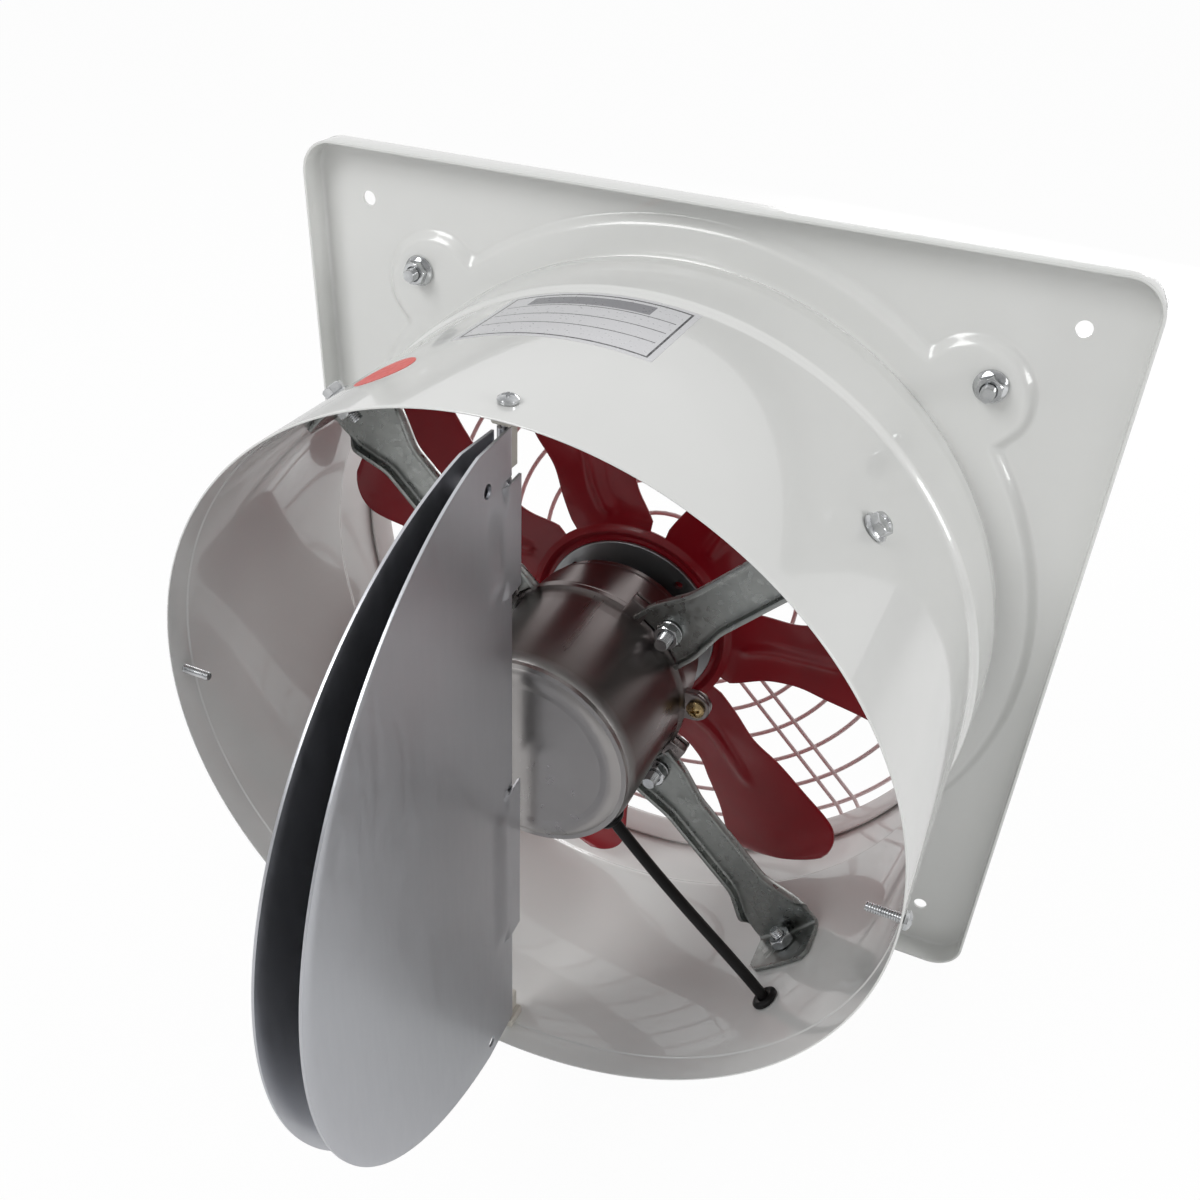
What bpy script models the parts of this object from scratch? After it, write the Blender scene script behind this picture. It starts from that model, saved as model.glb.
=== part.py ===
"""Axial extractor fan: a square wall plate with a round duct, an inlet guard, a motor on four arms, a
seven-blade impeller and a shutter of two half-disc leaves at the outlet.

Everything is placed in the fan's axial frame: x is to the right and y is up, seen from the outlet, and
z runs along the duct from the wall to the outlet. The empty duct_axis turns that frame, so that its y is
the world's +Z and its z is the world's -Y. The wall face of the plate is at z = 0.
"""

import math

import bmesh
import bpy
from mathutils import Matrix, Vector

TAU = 2 * math.pi

# Clearances and the number of facets
SEAT_GAP = 0.0003
CUT_OVERRUN = 0.004
HOLE_EASE = 0.0003
MERGE_SHARE = 0.1
SMOOTH_ANGLE = 32
DUCT_SEGMENTS = 64
CUP_SEGMENTS = 28
ROUND_SEGMENTS = 14
SCREW_SEGMENTS = 8
HEX_SECTION_POINTS = 12
HOLE_SEGMENTS = 8
WIRE_SIDES = 5

# Duct, whose radius sets the sizes across the fan
DUCT_RADIUS = 0.1563
DUCT_SHEET = 0.0012
SHOULDER_REACH = 0.0482
SHOULDER_STEP = 0.0013
SHOULDER_STEP_LENGTH = 0.0025
FLARE_REACH_SHARE = 0.4
FLARE_STEP = 0.0032
DUCT_FOOT_STEP = 0.0044
RIM_SETBACK = 0.0163

# Plate, pressed from sheet
PLATE_MARGIN = 0.0287
PLATE_SHEET = 0.0012
PLATE_CORNER_RADIUS = 0.016
PLATE_LIP_DEPTH = 0.0128
PLATE_BEND_RADIUS = 0.0028
MOUNT_HOLE_INSET = 0.0263
MOUNT_HOLE_DIAMETER = 0.0066
EMBOSS_DEPTH = 0.0035
EMBOSS_MARGIN = 0.0165
EMBOSS_SLOPE_WIDTH = 0.0030
LOBE_INSET = 0.0375
LOBE_WIDTH = 0.0466
LOBE_CORNER_RADIUS = 0.025
BELL_RADIUS = 0.0046
COLLAR_LENGTH = 0.0125
EVEN_ANGLES = (0, 10, 20, 29, 61, 70, 80)

# Inlet guard
RING_WIRE = 0.0023
LEG_WIRE = 0.0020
WELD_SINK = 0.0005
GUARD_SETBACK = 0.0038
GUARD_RING_CLEARANCE = 0.0006
GUARD_PITCH_SHARE = 0.11327
GUARD_RING_COUNT = 8
RING_MIN_QUARTER = 2
RING_MORE_QUARTER = 5
LEG_SPREAD = 0.0110
STUD_INSET = 0.0166
STUD_DIAMETER = 0.0060
STUD_HEAD_DIAMETER = 0.0150
STUD_HEAD_HEIGHT = 0.0009
STUD_PROUD = 0.0040
FLANGE_NUT_FLATS = 0.0100
FLANGE_NUT_FLANGE = 0.0140
FLANGE_NUT_FLANGE_HEIGHT = 0.0014
FLANGE_NUT_HEIGHT = 0.0060
NUT_CONE_SHARE = 1.4

# Impeller and its hub disc
BLADE_OUTLET_RISE = 0.0070
BLADE_INLET_DROP = 0.0150
INLET_CLEARANCE = 0.0292
HUB_SHEET = 0.0012
HUB_DISC_RADIUS = 0.0420
HUB_DISC_SHEET = 0.0020
HUB_DISC_HOLE_INSET = 0.0090
HUB_DISC_HOLE_DIAMETER = 0.0060
HUB_DISC_HOLES = 4
HUB_BOSS_WALL = 0.0060
HUB_BOSS_LENGTH = 0.0110
HUB_CLEARANCE = 0.0050
BLADE_COUNT = 7
NOTCH_ANGLE = -25
HUB_RING_MARGIN = 0.0050
HUB_RING_WIDTH = 0.0060
HUB_RING_HEIGHT = 0.0016
BLADE_ROOT_MARGIN = 0.0080
BLADE_TIP_CLEARANCE = 0.0061
BLADE_OUTLET_CORNER = 0.0140
BLADE_INLET_CORNER = 0.0100
BLADE_CAMBER = 0.0025
BLADE_RIB_HEIGHT = 0.0018
BLADE_RIB_SHARE = 0.54
SHAFT_NUT_WALL = 0.0035
SHAFT_NUT_HEIGHT = 0.0080

# Motor housing, with its joint at one plane
CUP_SHEET = 0.0012
REAR_CUP_RADIUS = 0.0450
REAR_CUP_LENGTH = 0.0580
REAR_CUP_ROUND = 0.0070
FRONT_CUP_STEP = 0.0030
FRONT_CUP_LENGTH = 0.0330
FRONT_CUP_ROUND = 0.0080
JOINT_RING_STEP = 0.0020
JOINT_RING_LENGTH = 0.0050
FLANGE_SHEET = 0.0020
EAR_LENGTH = 0.0107
EAR_WIDTH = 0.0130
EAR_SCREW_OFFSET = 0.0050
EAR_ANGLE = 3
EAR_ANGLES = (EAR_ANGLE, EAR_ANGLE + 180)
LUG_ANGLE = 62.5
LUG_WIDTH = 0.0100
PAD_WIDTH = 0.0175
LOBE_CLEAR_ANGLE = 2
LOBE_ROUND_STEPS = 3
EAR_SCREW_DIAMETER = 0.0040
EAR_SCREW_HEAD_DIAMETER = 0.0080
EAR_SCREW_HEAD_HEIGHT = 0.0026
EAR_SCREW_LENGTH = 0.0100
POCKET_WALL = 0.0015
SHAFT_HOLE_CLEARANCE = 0.0020

# Inside the motor
SHAFT_RADIUS = 0.0060
SHAFT_INLET_PROUD = 0.0027
BEARING_THICKNESS = 0.0070
BEARING_WIDTH = 0.0090
STATOR_THICKNESS = 0.0193
AIR_GAP = 0.0008
STATOR_LENGTH = 0.0300
STATOR_SETBACK = 0.0055
SLOT_COUNT = 6
SLOT_WIDTH = 0.0100
SLOT_OUTER_INSET = 0.0085
SLOT_INNER_OFFSET = 0.0033
TOOTH_SHARES = (0.2, 0.5, 0.8)
WINDING_INNER_OFFSET = 0.0020
WINDING_OUTER_INSET = 0.0063
WINDING_HEIGHT = 0.0085

# Arms, pressed channels
ARM_ANGLES = (45, 135, 225, 315)
ARM_SHEET = 0.0020
ARM_FLANGE = 0.0050
ARM_INNER_WIDTH = 0.0270
ARM_WAIST_WIDTH = 0.0190
ARM_END_WIDTH = 0.0340
ARM_SHOULDER_OFFSET = 0.0060
ARM_WAIST_OFFSET = 0.0270
ARM_WAIST_INSET = 0.0286
ARM_END_INSET = 0.0136
ARM_TAB_LENGTH = 0.0200
ARM_TAB_CHAMFER = 0.0070
ARM_BEND_RADIUS = 0.0030
ARM_WEB_SHARES = (-1, -0.5, 0, 0.5, 1)
ARM_MOTOR_BOLT_OFFSET = 0.0058
ARM_DUCT_BOLT_RISE = 0.0070
ARM_MOTOR_BOLT_DIAMETER = 0.0060
ARM_DUCT_BOLT_DIAMETER = 0.0060

# Hexagon bolts and nuts of the arms
HEX_FLATS = 0.0100
HEX_HEIGHT = 0.0048
DUCT_HEX_FLATS = 0.0100
DUCT_HEX_HEIGHT = 0.0045
DUCT_HEX_FLANGE = 0.0136
DUCT_HEX_FLANGE_HEIGHT = 0.0013
BOLT_PROUD = 0.0036
MOTOR_BOLT_PROUD = 0.0055

# Shutter
HINGE_OFFSET = -0.0015
MOTOR_SETBACK = 0.0065
ROD_RADIUS = 0.0011
LEAF_SHEET = 0.0010
LEAF_WALL_CLEARANCE = 0.0026
LEAF_END_TRIM = 0.0028
LEAF_EDGE_CLEARANCE = 0.0016
LEAF_CENTRE_OFFSET = 0.0063
LEAF_TAB_OVERLAP = 0.0055
LEAF_STEP_RUN = 0.0027
TAB_WELD_SINK = 0.0001
LEAF_HOLE_REACH = 0.0177
LEAF_HOLE_DIAMETER = 0.0052
LEAF_ARC_STEPS = 22
RIGHT_LEAF_REST_ANGLE = 3.4
LEFT_LEAF_REST_ANGLE = -1.6
CURL_END_GAP = 0.0006
CURL_CORNER_TRIM = 0.0015
BRACKET_SHEET = 0.0020
BRACKET_STEP = 0.0006
TOP_BRACKET_LENGTH = 0.0211
BOTTOM_BRACKET_LENGTH = 0.0146
FOOT_WIDTH = 0.0140
FOOT_DEPTH = 0.0104
FOOT_HEIGHT = 0.0044
FOOT_RISE = 0.0035
ROD_SEAT = 0.0009
HINGE_SCREW_DIAMETER = 0.0040
HINGE_SCREW_DEPTH = 0.0024
STOP_SCREW_DIAMETER = 0.0050
STOP_SCREW_INSIDE = 0.0125
STOP_SCREW_RISE = 0.0095
PAN_HEAD_DIAMETER = 0.0090
PAN_HEAD_HEIGHT = 0.0032
# Where a leaf's straight edge changes, from the top down, and where its small holes are, as shares of its radius
SPAN_SHARES = (0.862, 0.566, -0.033, -0.592)
LEAF_HOLE_SHARES = (0.8855, -0.9053)

# Motor lead
CABLE_DIAMETER = 0.0068
CABLE_SETBACK = 0.0167
CABLE_EXIT_ANGLE = -47
GROMMET_ANGLE = -45
CABLE_SAG = 0.0024
CABLE_POINTS = 9
CABLE_ROUND_STEPS = 2
CABLE_INSIDE = 0.0035
BUSH_COLLAR_DIAMETER = 0.0130
BUSH_COLLAR_LENGTH = 0.0045
RUBBER_WALL = 0.0016
GROMMET_HEAD_DIAMETER = 0.0140
GROMMET_HEAD_LENGTH = 0.0024

# Sizes across the fan, which follow from the duct's radius
DUCT_BORE = DUCT_RADIUS - DUCT_SHEET
DUCT_FACET = math.cos(math.pi / DUCT_SEGMENTS)
WALL_INNER = DUCT_BORE * DUCT_FACET - SEAT_GAP
WALL_OUTER = DUCT_RADIUS + SEAT_GAP
PLATE_HALF = DUCT_RADIUS + PLATE_MARGIN
MOUNT_HOLE_PITCH = 2 * (PLATE_HALF - MOUNT_HOLE_INSET)
EMBOSS_RADIUS = DUCT_RADIUS + EMBOSS_MARGIN
LOBE_REACH = PLATE_HALF - LOBE_INSET
STUD_PITCH = 2 * (LOBE_REACH - STUD_INSET)
STUD_RADIUS_FROM_AXIS = STUD_PITCH / math.sqrt(2)
GUARD_OUTER_RING = DUCT_BORE - GUARD_RING_CLEARANCE
GUARD_PITCH = GUARD_OUTER_RING * GUARD_PITCH_SHARE
BLADE_TIP_RADIUS = DUCT_BORE - BLADE_TIP_CLEARANCE
TAB_RADIUS = WALL_INNER - ARM_SHEET / 2
LEAF_RADIUS = WALL_INNER - LEAF_WALL_CLEARANCE
LEAF_HALF_HEIGHT = LEAF_RADIUS - LEAF_END_TRIM

# Sizes across the motor and the hub
FRONT_CUP_RADIUS = REAR_CUP_RADIUS - FRONT_CUP_STEP
JOINT_RING_RADIUS = REAR_CUP_RADIUS + JOINT_RING_STEP
EAR_REACH = JOINT_RING_RADIUS + EAR_LENGTH
EAR_SCREW_CIRCLE_RADIUS = JOINT_RING_RADIUS + EAR_SCREW_OFFSET
ARM_INNER_RADIUS = JOINT_RING_RADIUS + 2 * SEAT_GAP
ARM_MOTOR_BOLT_RADIUS = JOINT_RING_RADIUS + ARM_MOTOR_BOLT_OFFSET
ARM_SHOULDER_RADIUS = JOINT_RING_RADIUS + ARM_SHOULDER_OFFSET
ARM_WAIST_START = JOINT_RING_RADIUS + ARM_WAIST_OFFSET
ARM_WAIST_END = TAB_RADIUS - ARM_WAIST_INSET
ARM_END_START = TAB_RADIUS - ARM_END_INSET
BEARING_OUTER_RADIUS = SHAFT_RADIUS + BEARING_THICKNESS
SHAFT_HOLE_RADIUS = SHAFT_RADIUS + SHAFT_HOLE_CLEARANCE
STATOR_RADIUS = REAR_CUP_RADIUS - CUP_SHEET - SEAT_GAP
STATOR_BORE_RADIUS = STATOR_RADIUS - STATOR_THICKNESS
ROTOR_RADIUS = STATOR_BORE_RADIUS - AIR_GAP
SLOT_OUTER_RADIUS = STATOR_RADIUS - SLOT_OUTER_INSET
SLOT_INNER_RADIUS = STATOR_BORE_RADIUS + SLOT_INNER_OFFSET
WINDING_INNER_RADIUS = STATOR_BORE_RADIUS + WINDING_INNER_OFFSET
WINDING_OUTER_RADIUS = STATOR_RADIUS - WINDING_OUTER_INSET
HUB_DISC_HOLE_CIRCLE_RADIUS = HUB_DISC_RADIUS - HUB_DISC_HOLE_INSET
HUB_BOSS_RADIUS = SHAFT_RADIUS + HUB_BOSS_WALL
HUB_RING_RADIUS = HUB_DISC_RADIUS + HUB_RING_MARGIN
BLADE_ROOT_RADIUS = HUB_RING_RADIUS + BLADE_ROOT_MARGIN
IMPELLER_BORE_RADIUS = SHAFT_RADIUS + SEAT_GAP
SHAFT_NUT_FLATS = 2 * (SHAFT_RADIUS + SHAFT_NUT_WALL)

# Places along the duct, from the wall to the outlet
DUCT_FOOT = EMBOSS_DEPTH + PLATE_SHEET + SEAT_GAP
FLARE_REACH = SHOULDER_REACH * FLARE_REACH_SHARE
RING_Z = -GUARD_SETBACK
LEG_Z = RING_Z + (RING_WIRE + LEG_WIRE) / 2 - WELD_SINK
LEG_END_Z = EMBOSS_DEPTH - SEAT_GAP - LEG_WIRE / 2
HUB_REACH = BLADE_INLET_DROP + INLET_CLEARANCE
SHAFT_INLET_REACH = HUB_REACH - HUB_SHEET - SEAT_GAP - SHAFT_NUT_HEIGHT - SHAFT_INLET_PROUD
HUB_BOSS_END = HUB_REACH + SEAT_GAP + HUB_BOSS_LENGTH
FRONT_CUP_Z = HUB_REACH + HUB_BOSS_LENGTH + HUB_CLEARANCE
MOTOR_JOINT_REACH = FRONT_CUP_Z + FRONT_CUP_LENGTH
FRONT_FLANGE_Z = MOTOR_JOINT_REACH - SEAT_GAP - FLANGE_SHEET
REAR_CUP_Z = MOTOR_JOINT_REACH + REAR_CUP_LENGTH
STATOR_Z = MOTOR_JOINT_REACH + STATOR_SETBACK
ARM_FACE = MOTOR_JOINT_REACH + ARM_SHEET
ARM_DUCT_BOLT_REACH = ARM_FACE + ARM_DUCT_BOLT_RISE
CABLE_REACH = REAR_CUP_Z - CABLE_SETBACK
LEAF_CENTRE_REACH = REAR_CUP_Z + MOTOR_SETBACK
HINGE_REACH = LEAF_CENTRE_REACH + LEAF_CENTRE_OFFSET
HINGE_SCREW_REACH = LEAF_CENTRE_REACH + FOOT_RISE
STOP_SCREW_REACH = LEAF_CENTRE_REACH + STOP_SCREW_RISE
DUCT_REACH = LEAF_CENTRE_REACH + RIM_SETBACK

# Small fits
KNUCKLE_BORE = ROD_RADIUS + SEAT_GAP
KNUCKLE_RADIUS = KNUCKLE_BORE + LEAF_SHEET
LEAF_EDGE_SETBACK = KNUCKLE_RADIUS + LEAF_EDGE_CLEARANCE
TAB_FACE = KNUCKLE_RADIUS + SEAT_GAP
TAB_STEP_END = LEAF_TAB_OVERLAP + SEAT_GAP
TAB_STEP_START = TAB_STEP_END + LEAF_STEP_RUN
FOOT_LOW = HINGE_SCREW_REACH - FOOT_DEPTH / 2
FOOT_HIGH = HINGE_SCREW_REACH + FOOT_DEPTH / 2
BRACKET_HIGH = HINGE_REACH - KNUCKLE_RADIUS - SEAT_GAP
ROD_HALF = WALL_INNER - FOOT_HEIGHT + ROD_SEAT
CABLE_RADIUS = CABLE_DIAMETER / 2
CABLE_HOLE = CABLE_RADIUS + SEAT_GAP
RUBBER_NECK = CABLE_HOLE + RUBBER_WALL


def clear_scene():
    for old in list(bpy.data.objects):
        bpy.data.objects.remove(old, do_unlink=True)


def make_collection(name):
    collection = bpy.data.collections.new(name)
    bpy.context.scene.collection.children.link(collection)
    return collection


def finish(name, colour, roughness, metallic):
    material = bpy.data.materials.get(name)
    if material is None:
        material = bpy.data.materials.new(name)
        material.use_nodes = True
        shader = material.node_tree.nodes["Principled BSDF"]
        shader.inputs["Base Color"].default_value = (*colour, 1)
        shader.inputs["Roughness"].default_value = roughness
        shader.inputs["Metallic"].default_value = metallic
    return material


def duct_paint():
    return finish("white_paint", (0.68, 0.69, 0.67), 0.42, 0)


def bar_paint():
    return finish("cream_paint", (0.62, 0.59, 0.53), 0.5, 0)


def blade_paint():
    return finish("red_paint", (0.16, 0.012, 0.014), 0.16, 0)


def drawn_steel():
    return finish("drawn_steel", (0.34, 0.32, 0.31), 0.27, 1)


def zinc_plate():
    return finish("zinc_plate", (0.40, 0.41, 0.40), 0.38, 1)


def yellow_zinc():
    return finish("yellow_zinc", (0.62, 0.46, 0.20), 0.32, 1)


def satin_aluminium():
    return finish("satin_aluminium", (0.46, 0.46, 0.49), 0.34, 1)


def guard_wire_steel():
    return finish("guard_wire_steel", (0.42, 0.42, 0.42), 0.35, 1)


def black_rubber():
    return finish("black_rubber", (0.016, 0.016, 0.018), 0.6, 0)


def core_steel():
    return finish("core_steel", (0.22, 0.22, 0.23), 0.5, 1)


def copper_winding():
    return finish("copper_winding", (0.52, 0.20, 0.08), 0.4, 1)


def ground_steel():
    return finish("ground_steel", (0.50, 0.50, 0.51), 0.22, 1)


def smooth(mesh):
    mesh.shade_smooth()
    mesh.set_sharp_from_angle(angle=math.radians(SMOOTH_ANGLE))


def put(name, mesh, material, location=(0, 0, 0), rotation=(0, 0, 0), parent=None):
    """A named object of the part, on the duct's axis or on the parent given."""
    piece = bpy.data.objects.new(name, mesh)
    piece.location = location
    piece.rotation_euler = rotation
    piece.parent = parent or AXIS
    if not mesh.materials:
        mesh.materials.append(material)
    PART.objects.link(piece)
    return piece


def mesh_from(name, build):
    """A mesh whose faces build(bm) adds, with its normals facing out."""
    mesh = bpy.data.meshes.new(name)
    bm = bmesh.new()
    build(bm)
    bmesh.ops.recalc_face_normals(bm, faces=bm.faces)
    bm.to_mesh(mesh)
    bm.free()
    smooth(mesh)
    return mesh


def baked(piece):
    """The piece with its modifiers worked into its mesh."""
    bpy.context.view_layer.update()
    mesh = bpy.data.meshes.new_from_object(piece.evaluated_get(bpy.context.evaluated_depsgraph_get()))
    piece.modifiers.clear()
    piece.data = mesh
    smooth(mesh)
    return piece


def joined_loops(bm, loops, closed_ring=False, caps=True):
    """Quads between loops of equal length. The last loop meets the first, or both ends are capped."""
    rows = [[bm.verts.new(point) for point in loop] for loop in loops]
    pairs = list(zip(rows, rows[1:]))
    if closed_ring:
        pairs.append((rows[-1], rows[0]))
    for low, high in pairs:
        for i in range(len(low)):
            j = (i + 1) % len(low)
            bm.faces.new((low[i], low[j], high[j], high[i]))
    if caps and not closed_ring:
        bm.faces.new(rows[0])
        bm.faces.new(rows[-1])


def circle(radius, z, count, centre=(0, 0)):
    steps = [TAU * i / count for i in range(count)]
    return [(centre[0] + radius * math.cos(a), centre[1] + radius * math.sin(a), z) for a in steps]


def hexagon(flats, z):
    """A hexagon as a loop of twelve points: its corners and the middles of its sides."""
    half = flats / 2
    corner = half / math.cos(math.pi / 6)
    loop = []
    for i in range(HEX_SECTION_POINTS):
        a = TAU * i / HEX_SECTION_POINTS
        radius = half if i % 2 else corner
        loop.append((radius * math.cos(a), radius * math.sin(a), z))
    return loop


def add_screw(piece, segments):
    turn = piece.modifiers.new("turn", "SCREW")
    turn.axis = "Z"
    turn.steps = segments
    turn.render_steps = segments
    turn.use_merge_vertices = True
    turn.merge_threshold = SEAT_GAP * MERGE_SHARE
    turn.use_smooth_shade = True


def turned(name, profile, segments, material, closed=False, **place):
    """A turned piece from (radius, z) points down its outer side. A closed profile leaves a bore."""
    mesh = bpy.data.meshes.new(name)
    count = len(profile)
    edges = [(i, i + 1) for i in range(count - 1)]
    if closed:
        edges.append((count - 1, 0))
    mesh.from_pydata([(radius, 0, z) for radius, z in profile], edges, [])
    piece = put(name, mesh, material, **place)
    add_screw(piece, segments)
    return piece


def flat_mesh(name, loops, thickness):
    """A flat sheet from z = 0 to its thickness. The first loop is its outline and the rest are holes."""
    curve = bpy.data.curves.new(name, "CURVE")
    curve.dimensions = "2D"
    curve.fill_mode = "BOTH"
    curve.extrude = thickness / 2
    for loop in loops:
        spline = curve.splines.new("POLY")
        spline.points.add(len(loop) - 1)
        for point, place in zip(spline.points, loop):
            point.co = (place[0], place[1], 0, 1)
        spline.use_cyclic_u = True
    guide = bpy.data.objects.new(name, curve)
    HELPERS.objects.link(guide)
    bpy.context.view_layer.update()
    mesh = bpy.data.meshes.new_from_object(guide.evaluated_get(bpy.context.evaluated_depsgraph_get()))
    bpy.data.objects.remove(guide, do_unlink=True)
    bm = bmesh.new()
    bm.from_mesh(mesh)
    bmesh.ops.remove_doubles(bm, verts=bm.verts, dist=SEAT_GAP * MERGE_SHARE)
    bmesh.ops.translate(bm, verts=bm.verts, vec=(0, 0, thickness / 2))
    bmesh.ops.recalc_face_normals(bm, faces=bm.faces)
    bm.to_mesh(mesh)
    bm.free()
    mesh.materials.clear()
    return mesh


def add_box(bm, low, high):
    size = [b - a for a, b in zip(low, high)]
    middle = [(a + b) / 2 for a, b in zip(low, high)]
    matrix = Matrix.Translation(middle) @ Matrix.Diagonal((*size, 1))
    bmesh.ops.create_cube(bm, size=1, matrix=matrix)


def add_cylinder(bm, radius, start, end, segments):
    """A cylinder between two points."""
    start, end = Vector(start), Vector(end)
    along = end - start
    turn = along.to_track_quat("Z", "Y").to_matrix().to_4x4()
    matrix = Matrix.Translation((start + end) / 2) @ turn
    bmesh.ops.create_cone(
        bm,
        cap_ends=True,
        segments=segments,
        radius1=radius,
        radius2=radius,
        depth=along.length,
        matrix=matrix,
    )


def add_hole(bm, radius, start, end, segments):
    """A cutter for a hole, whose flats lie at the hole's radius."""
    add_cylinder(bm, radius / math.cos(math.pi / segments), start, end, segments)


def helper(name, build, parent=None):
    """A cutter or a shape to be joined, which is no piece of its own."""
    tool = bpy.data.objects.new(name, mesh_from(name, build))
    tool.parent = parent or AXIS
    tool.hide_render = True
    tool.display_type = "WIRE"
    HELPERS.objects.link(tool)
    return tool


def combine(piece, tool, operation):
    boolean = piece.modifiers.new(operation.lower(), "BOOLEAN")
    boolean.object = tool
    boolean.operation = operation
    boolean.solver = "EXACT"


def polar(radius, angle, z):
    return (radius * math.cos(math.radians(angle)), radius * math.sin(math.radians(angle)), z)


def radial_place(angle, radius, z):
    """Location and rotation that turn a piece's own +z outwards along a radius of the duct."""
    return {"location": polar(radius, angle, z), "rotation": (0, math.pi / 2, math.radians(angle))}


def folded(angle):
    """The angle from the nearest of the four half axes."""
    rest = angle % (math.pi / 2)
    return min(rest, math.pi / 2 - rest)


def rounded_square_radius(angle, half, corner):
    """Distance from the centre to the edge of a square with round corners, along an angle."""
    a = folded(angle)
    straight = half - corner
    if a <= math.atan2(straight, half):
        return half / math.cos(a)
    along = straight * (math.cos(a) + math.sin(a))
    return along + math.sqrt(max(along**2 - 2 * straight**2 + corner**2, 0))


def lobe_start(inset=0):
    """Angle at which a lobe leaves the raised circle."""
    return math.pi / 4 - math.asin((LOBE_WIDTH / 2 + inset) / (EMBOSS_RADIUS + inset))


def emboss_radius(angle, inset):
    """Edge of the raised field: a circle with four lobes, whose ends follow the plate's corners."""
    a = folded(angle)
    base = EMBOSS_RADIUS + inset
    if a <= lobe_start(inset):
        return base
    side = (LOBE_WIDTH / 2 + inset) / max(math.sin(math.pi / 4 - a), math.sin(math.radians(1)))
    end = rounded_square_radius(a, LOBE_REACH + inset, LOBE_CORNER_RADIUS + inset)
    return max(min(side, end), base)


def plate_angles():
    """The polar angles that all loops of the plate share: even ones, and those of the lobes and corners."""
    shoulder = math.atan2(LOBE_REACH - LOBE_WIDTH / math.sqrt(2), LOBE_REACH)
    slope = EMBOSS_SLOPE_WIDTH / 2
    lobe_arc = math.atan2(LOBE_REACH - LOBE_CORNER_RADIUS, LOBE_REACH)
    plate_arc = math.atan2(PLATE_HALF - PLATE_CORNER_RADIUS, PLATE_HALF)
    rising = [lobe_start(slope), lobe_start(-slope), shoulder, lobe_arc, plate_arc]
    special = rising + [math.pi / 4] + [math.pi / 2 - a for a in rising]
    quadrant = sorted(special + [math.radians(a) for a in EVEN_ANGLES])
    return [quarter * math.pi / 2 + a for quarter in range(4) for a in quadrant]


def plate_surface(bm):
    """The middle of the pressed sheet, from the collar over the bell and the raised field to the lip."""
    angles = plate_angles()

    def loop(radius_at, z):
        return [(radius_at(a) * math.cos(a), radius_at(a) * math.sin(a), z) for a in angles]

    def square(half, z):
        corner = PLATE_CORNER_RADIUS - (PLATE_HALF - half)
        return loop(lambda a: rounded_square_radius(a, half, corner), z)

    half_sheet = PLATE_SHEET / 2
    bell = BELL_RADIUS - half_sheet
    bell_centre = DUCT_BORE + BELL_RADIUS
    loops = [loop(lambda a: DUCT_BORE + half_sheet, EMBOSS_DEPTH + BELL_RADIUS + COLLAR_LENGTH)]
    for turn in (0, math.pi / 4, math.pi / 2):
        radius = bell_centre - bell * math.cos(turn)
        loops.append(loop(lambda a, r=radius: r, EMBOSS_DEPTH + BELL_RADIUS - bell * math.sin(turn)))
    slope = EMBOSS_SLOPE_WIDTH / 2
    loops.append(loop(lambda a: emboss_radius(a, -slope), EMBOSS_DEPTH + half_sheet))
    loops.append(loop(lambda a: emboss_radius(a, slope), half_sheet))
    lip_bend = PLATE_BEND_RADIUS - half_sheet
    for turn in (0, math.pi / 4, math.pi / 2):
        half = PLATE_HALF - PLATE_BEND_RADIUS + lip_bend * math.sin(turn)
        loops.append(square(half, PLATE_BEND_RADIUS - lip_bend * math.cos(turn)))
    loops.append(square(PLATE_HALF - half_sheet, PLATE_SHEET + PLATE_LIP_DEPTH))
    joined_loops(bm, loops, caps=False)


def plate_hole_cutters(bm):
    for pitch, diameter in (
        (MOUNT_HOLE_PITCH, MOUNT_HOLE_DIAMETER),
        (STUD_PITCH, STUD_DIAMETER + 2 * HOLE_EASE),
    ):
        for x in (-pitch / 2, pitch / 2):
            for y in (-pitch / 2, pitch / 2):
                low = (x, y, -CUT_OVERRUN)
                high = (x, y, EMBOSS_DEPTH + PLATE_SHEET + CUT_OVERRUN)
                add_hole(bm, diameter / 2, low, high, HOLE_SEGMENTS)


def make_plate():
    plate = put("mounting_plate", mesh_from("mounting_plate", plate_surface), duct_paint())
    sheet = plate.modifiers.new("sheet", "SOLIDIFY")
    sheet.thickness = PLATE_SHEET
    sheet.offset = 0
    sheet.use_even_offset = True
    combine(plate, helper("plate_holes", plate_hole_cutters), "DIFFERENCE")


def duct_outline():
    """Radius and z of the drum's outer side, from the rim to its foot on the plate."""
    return [
        (DUCT_RADIUS, DUCT_REACH),
        (DUCT_RADIUS, SHOULDER_REACH + SHOULDER_STEP_LENGTH),
        (DUCT_RADIUS + SHOULDER_STEP, SHOULDER_REACH),
        (DUCT_RADIUS + FLARE_STEP, FLARE_REACH),
        (DUCT_RADIUS + DUCT_FOOT_STEP, DUCT_FOOT),
    ]


def duct_hole_list():
    """Angle, z and radius of each hole in the drum's wall."""
    bolt = ARM_DUCT_BOLT_DIAMETER / 2 + HOLE_EASE
    holes = [(angle, ARM_DUCT_BOLT_REACH, bolt) for angle in ARM_ANGLES]
    holes += [(angle, HINGE_SCREW_REACH, HINGE_SCREW_DIAMETER / 2 + HOLE_EASE) for angle in (90, 270)]
    holes += [(angle, STOP_SCREW_REACH, STOP_SCREW_DIAMETER / 2 + HOLE_EASE) for angle in (0, 180)]
    holes.append((GROMMET_ANGLE, CABLE_REACH, RUBBER_NECK + HOLE_EASE))
    return holes


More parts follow.
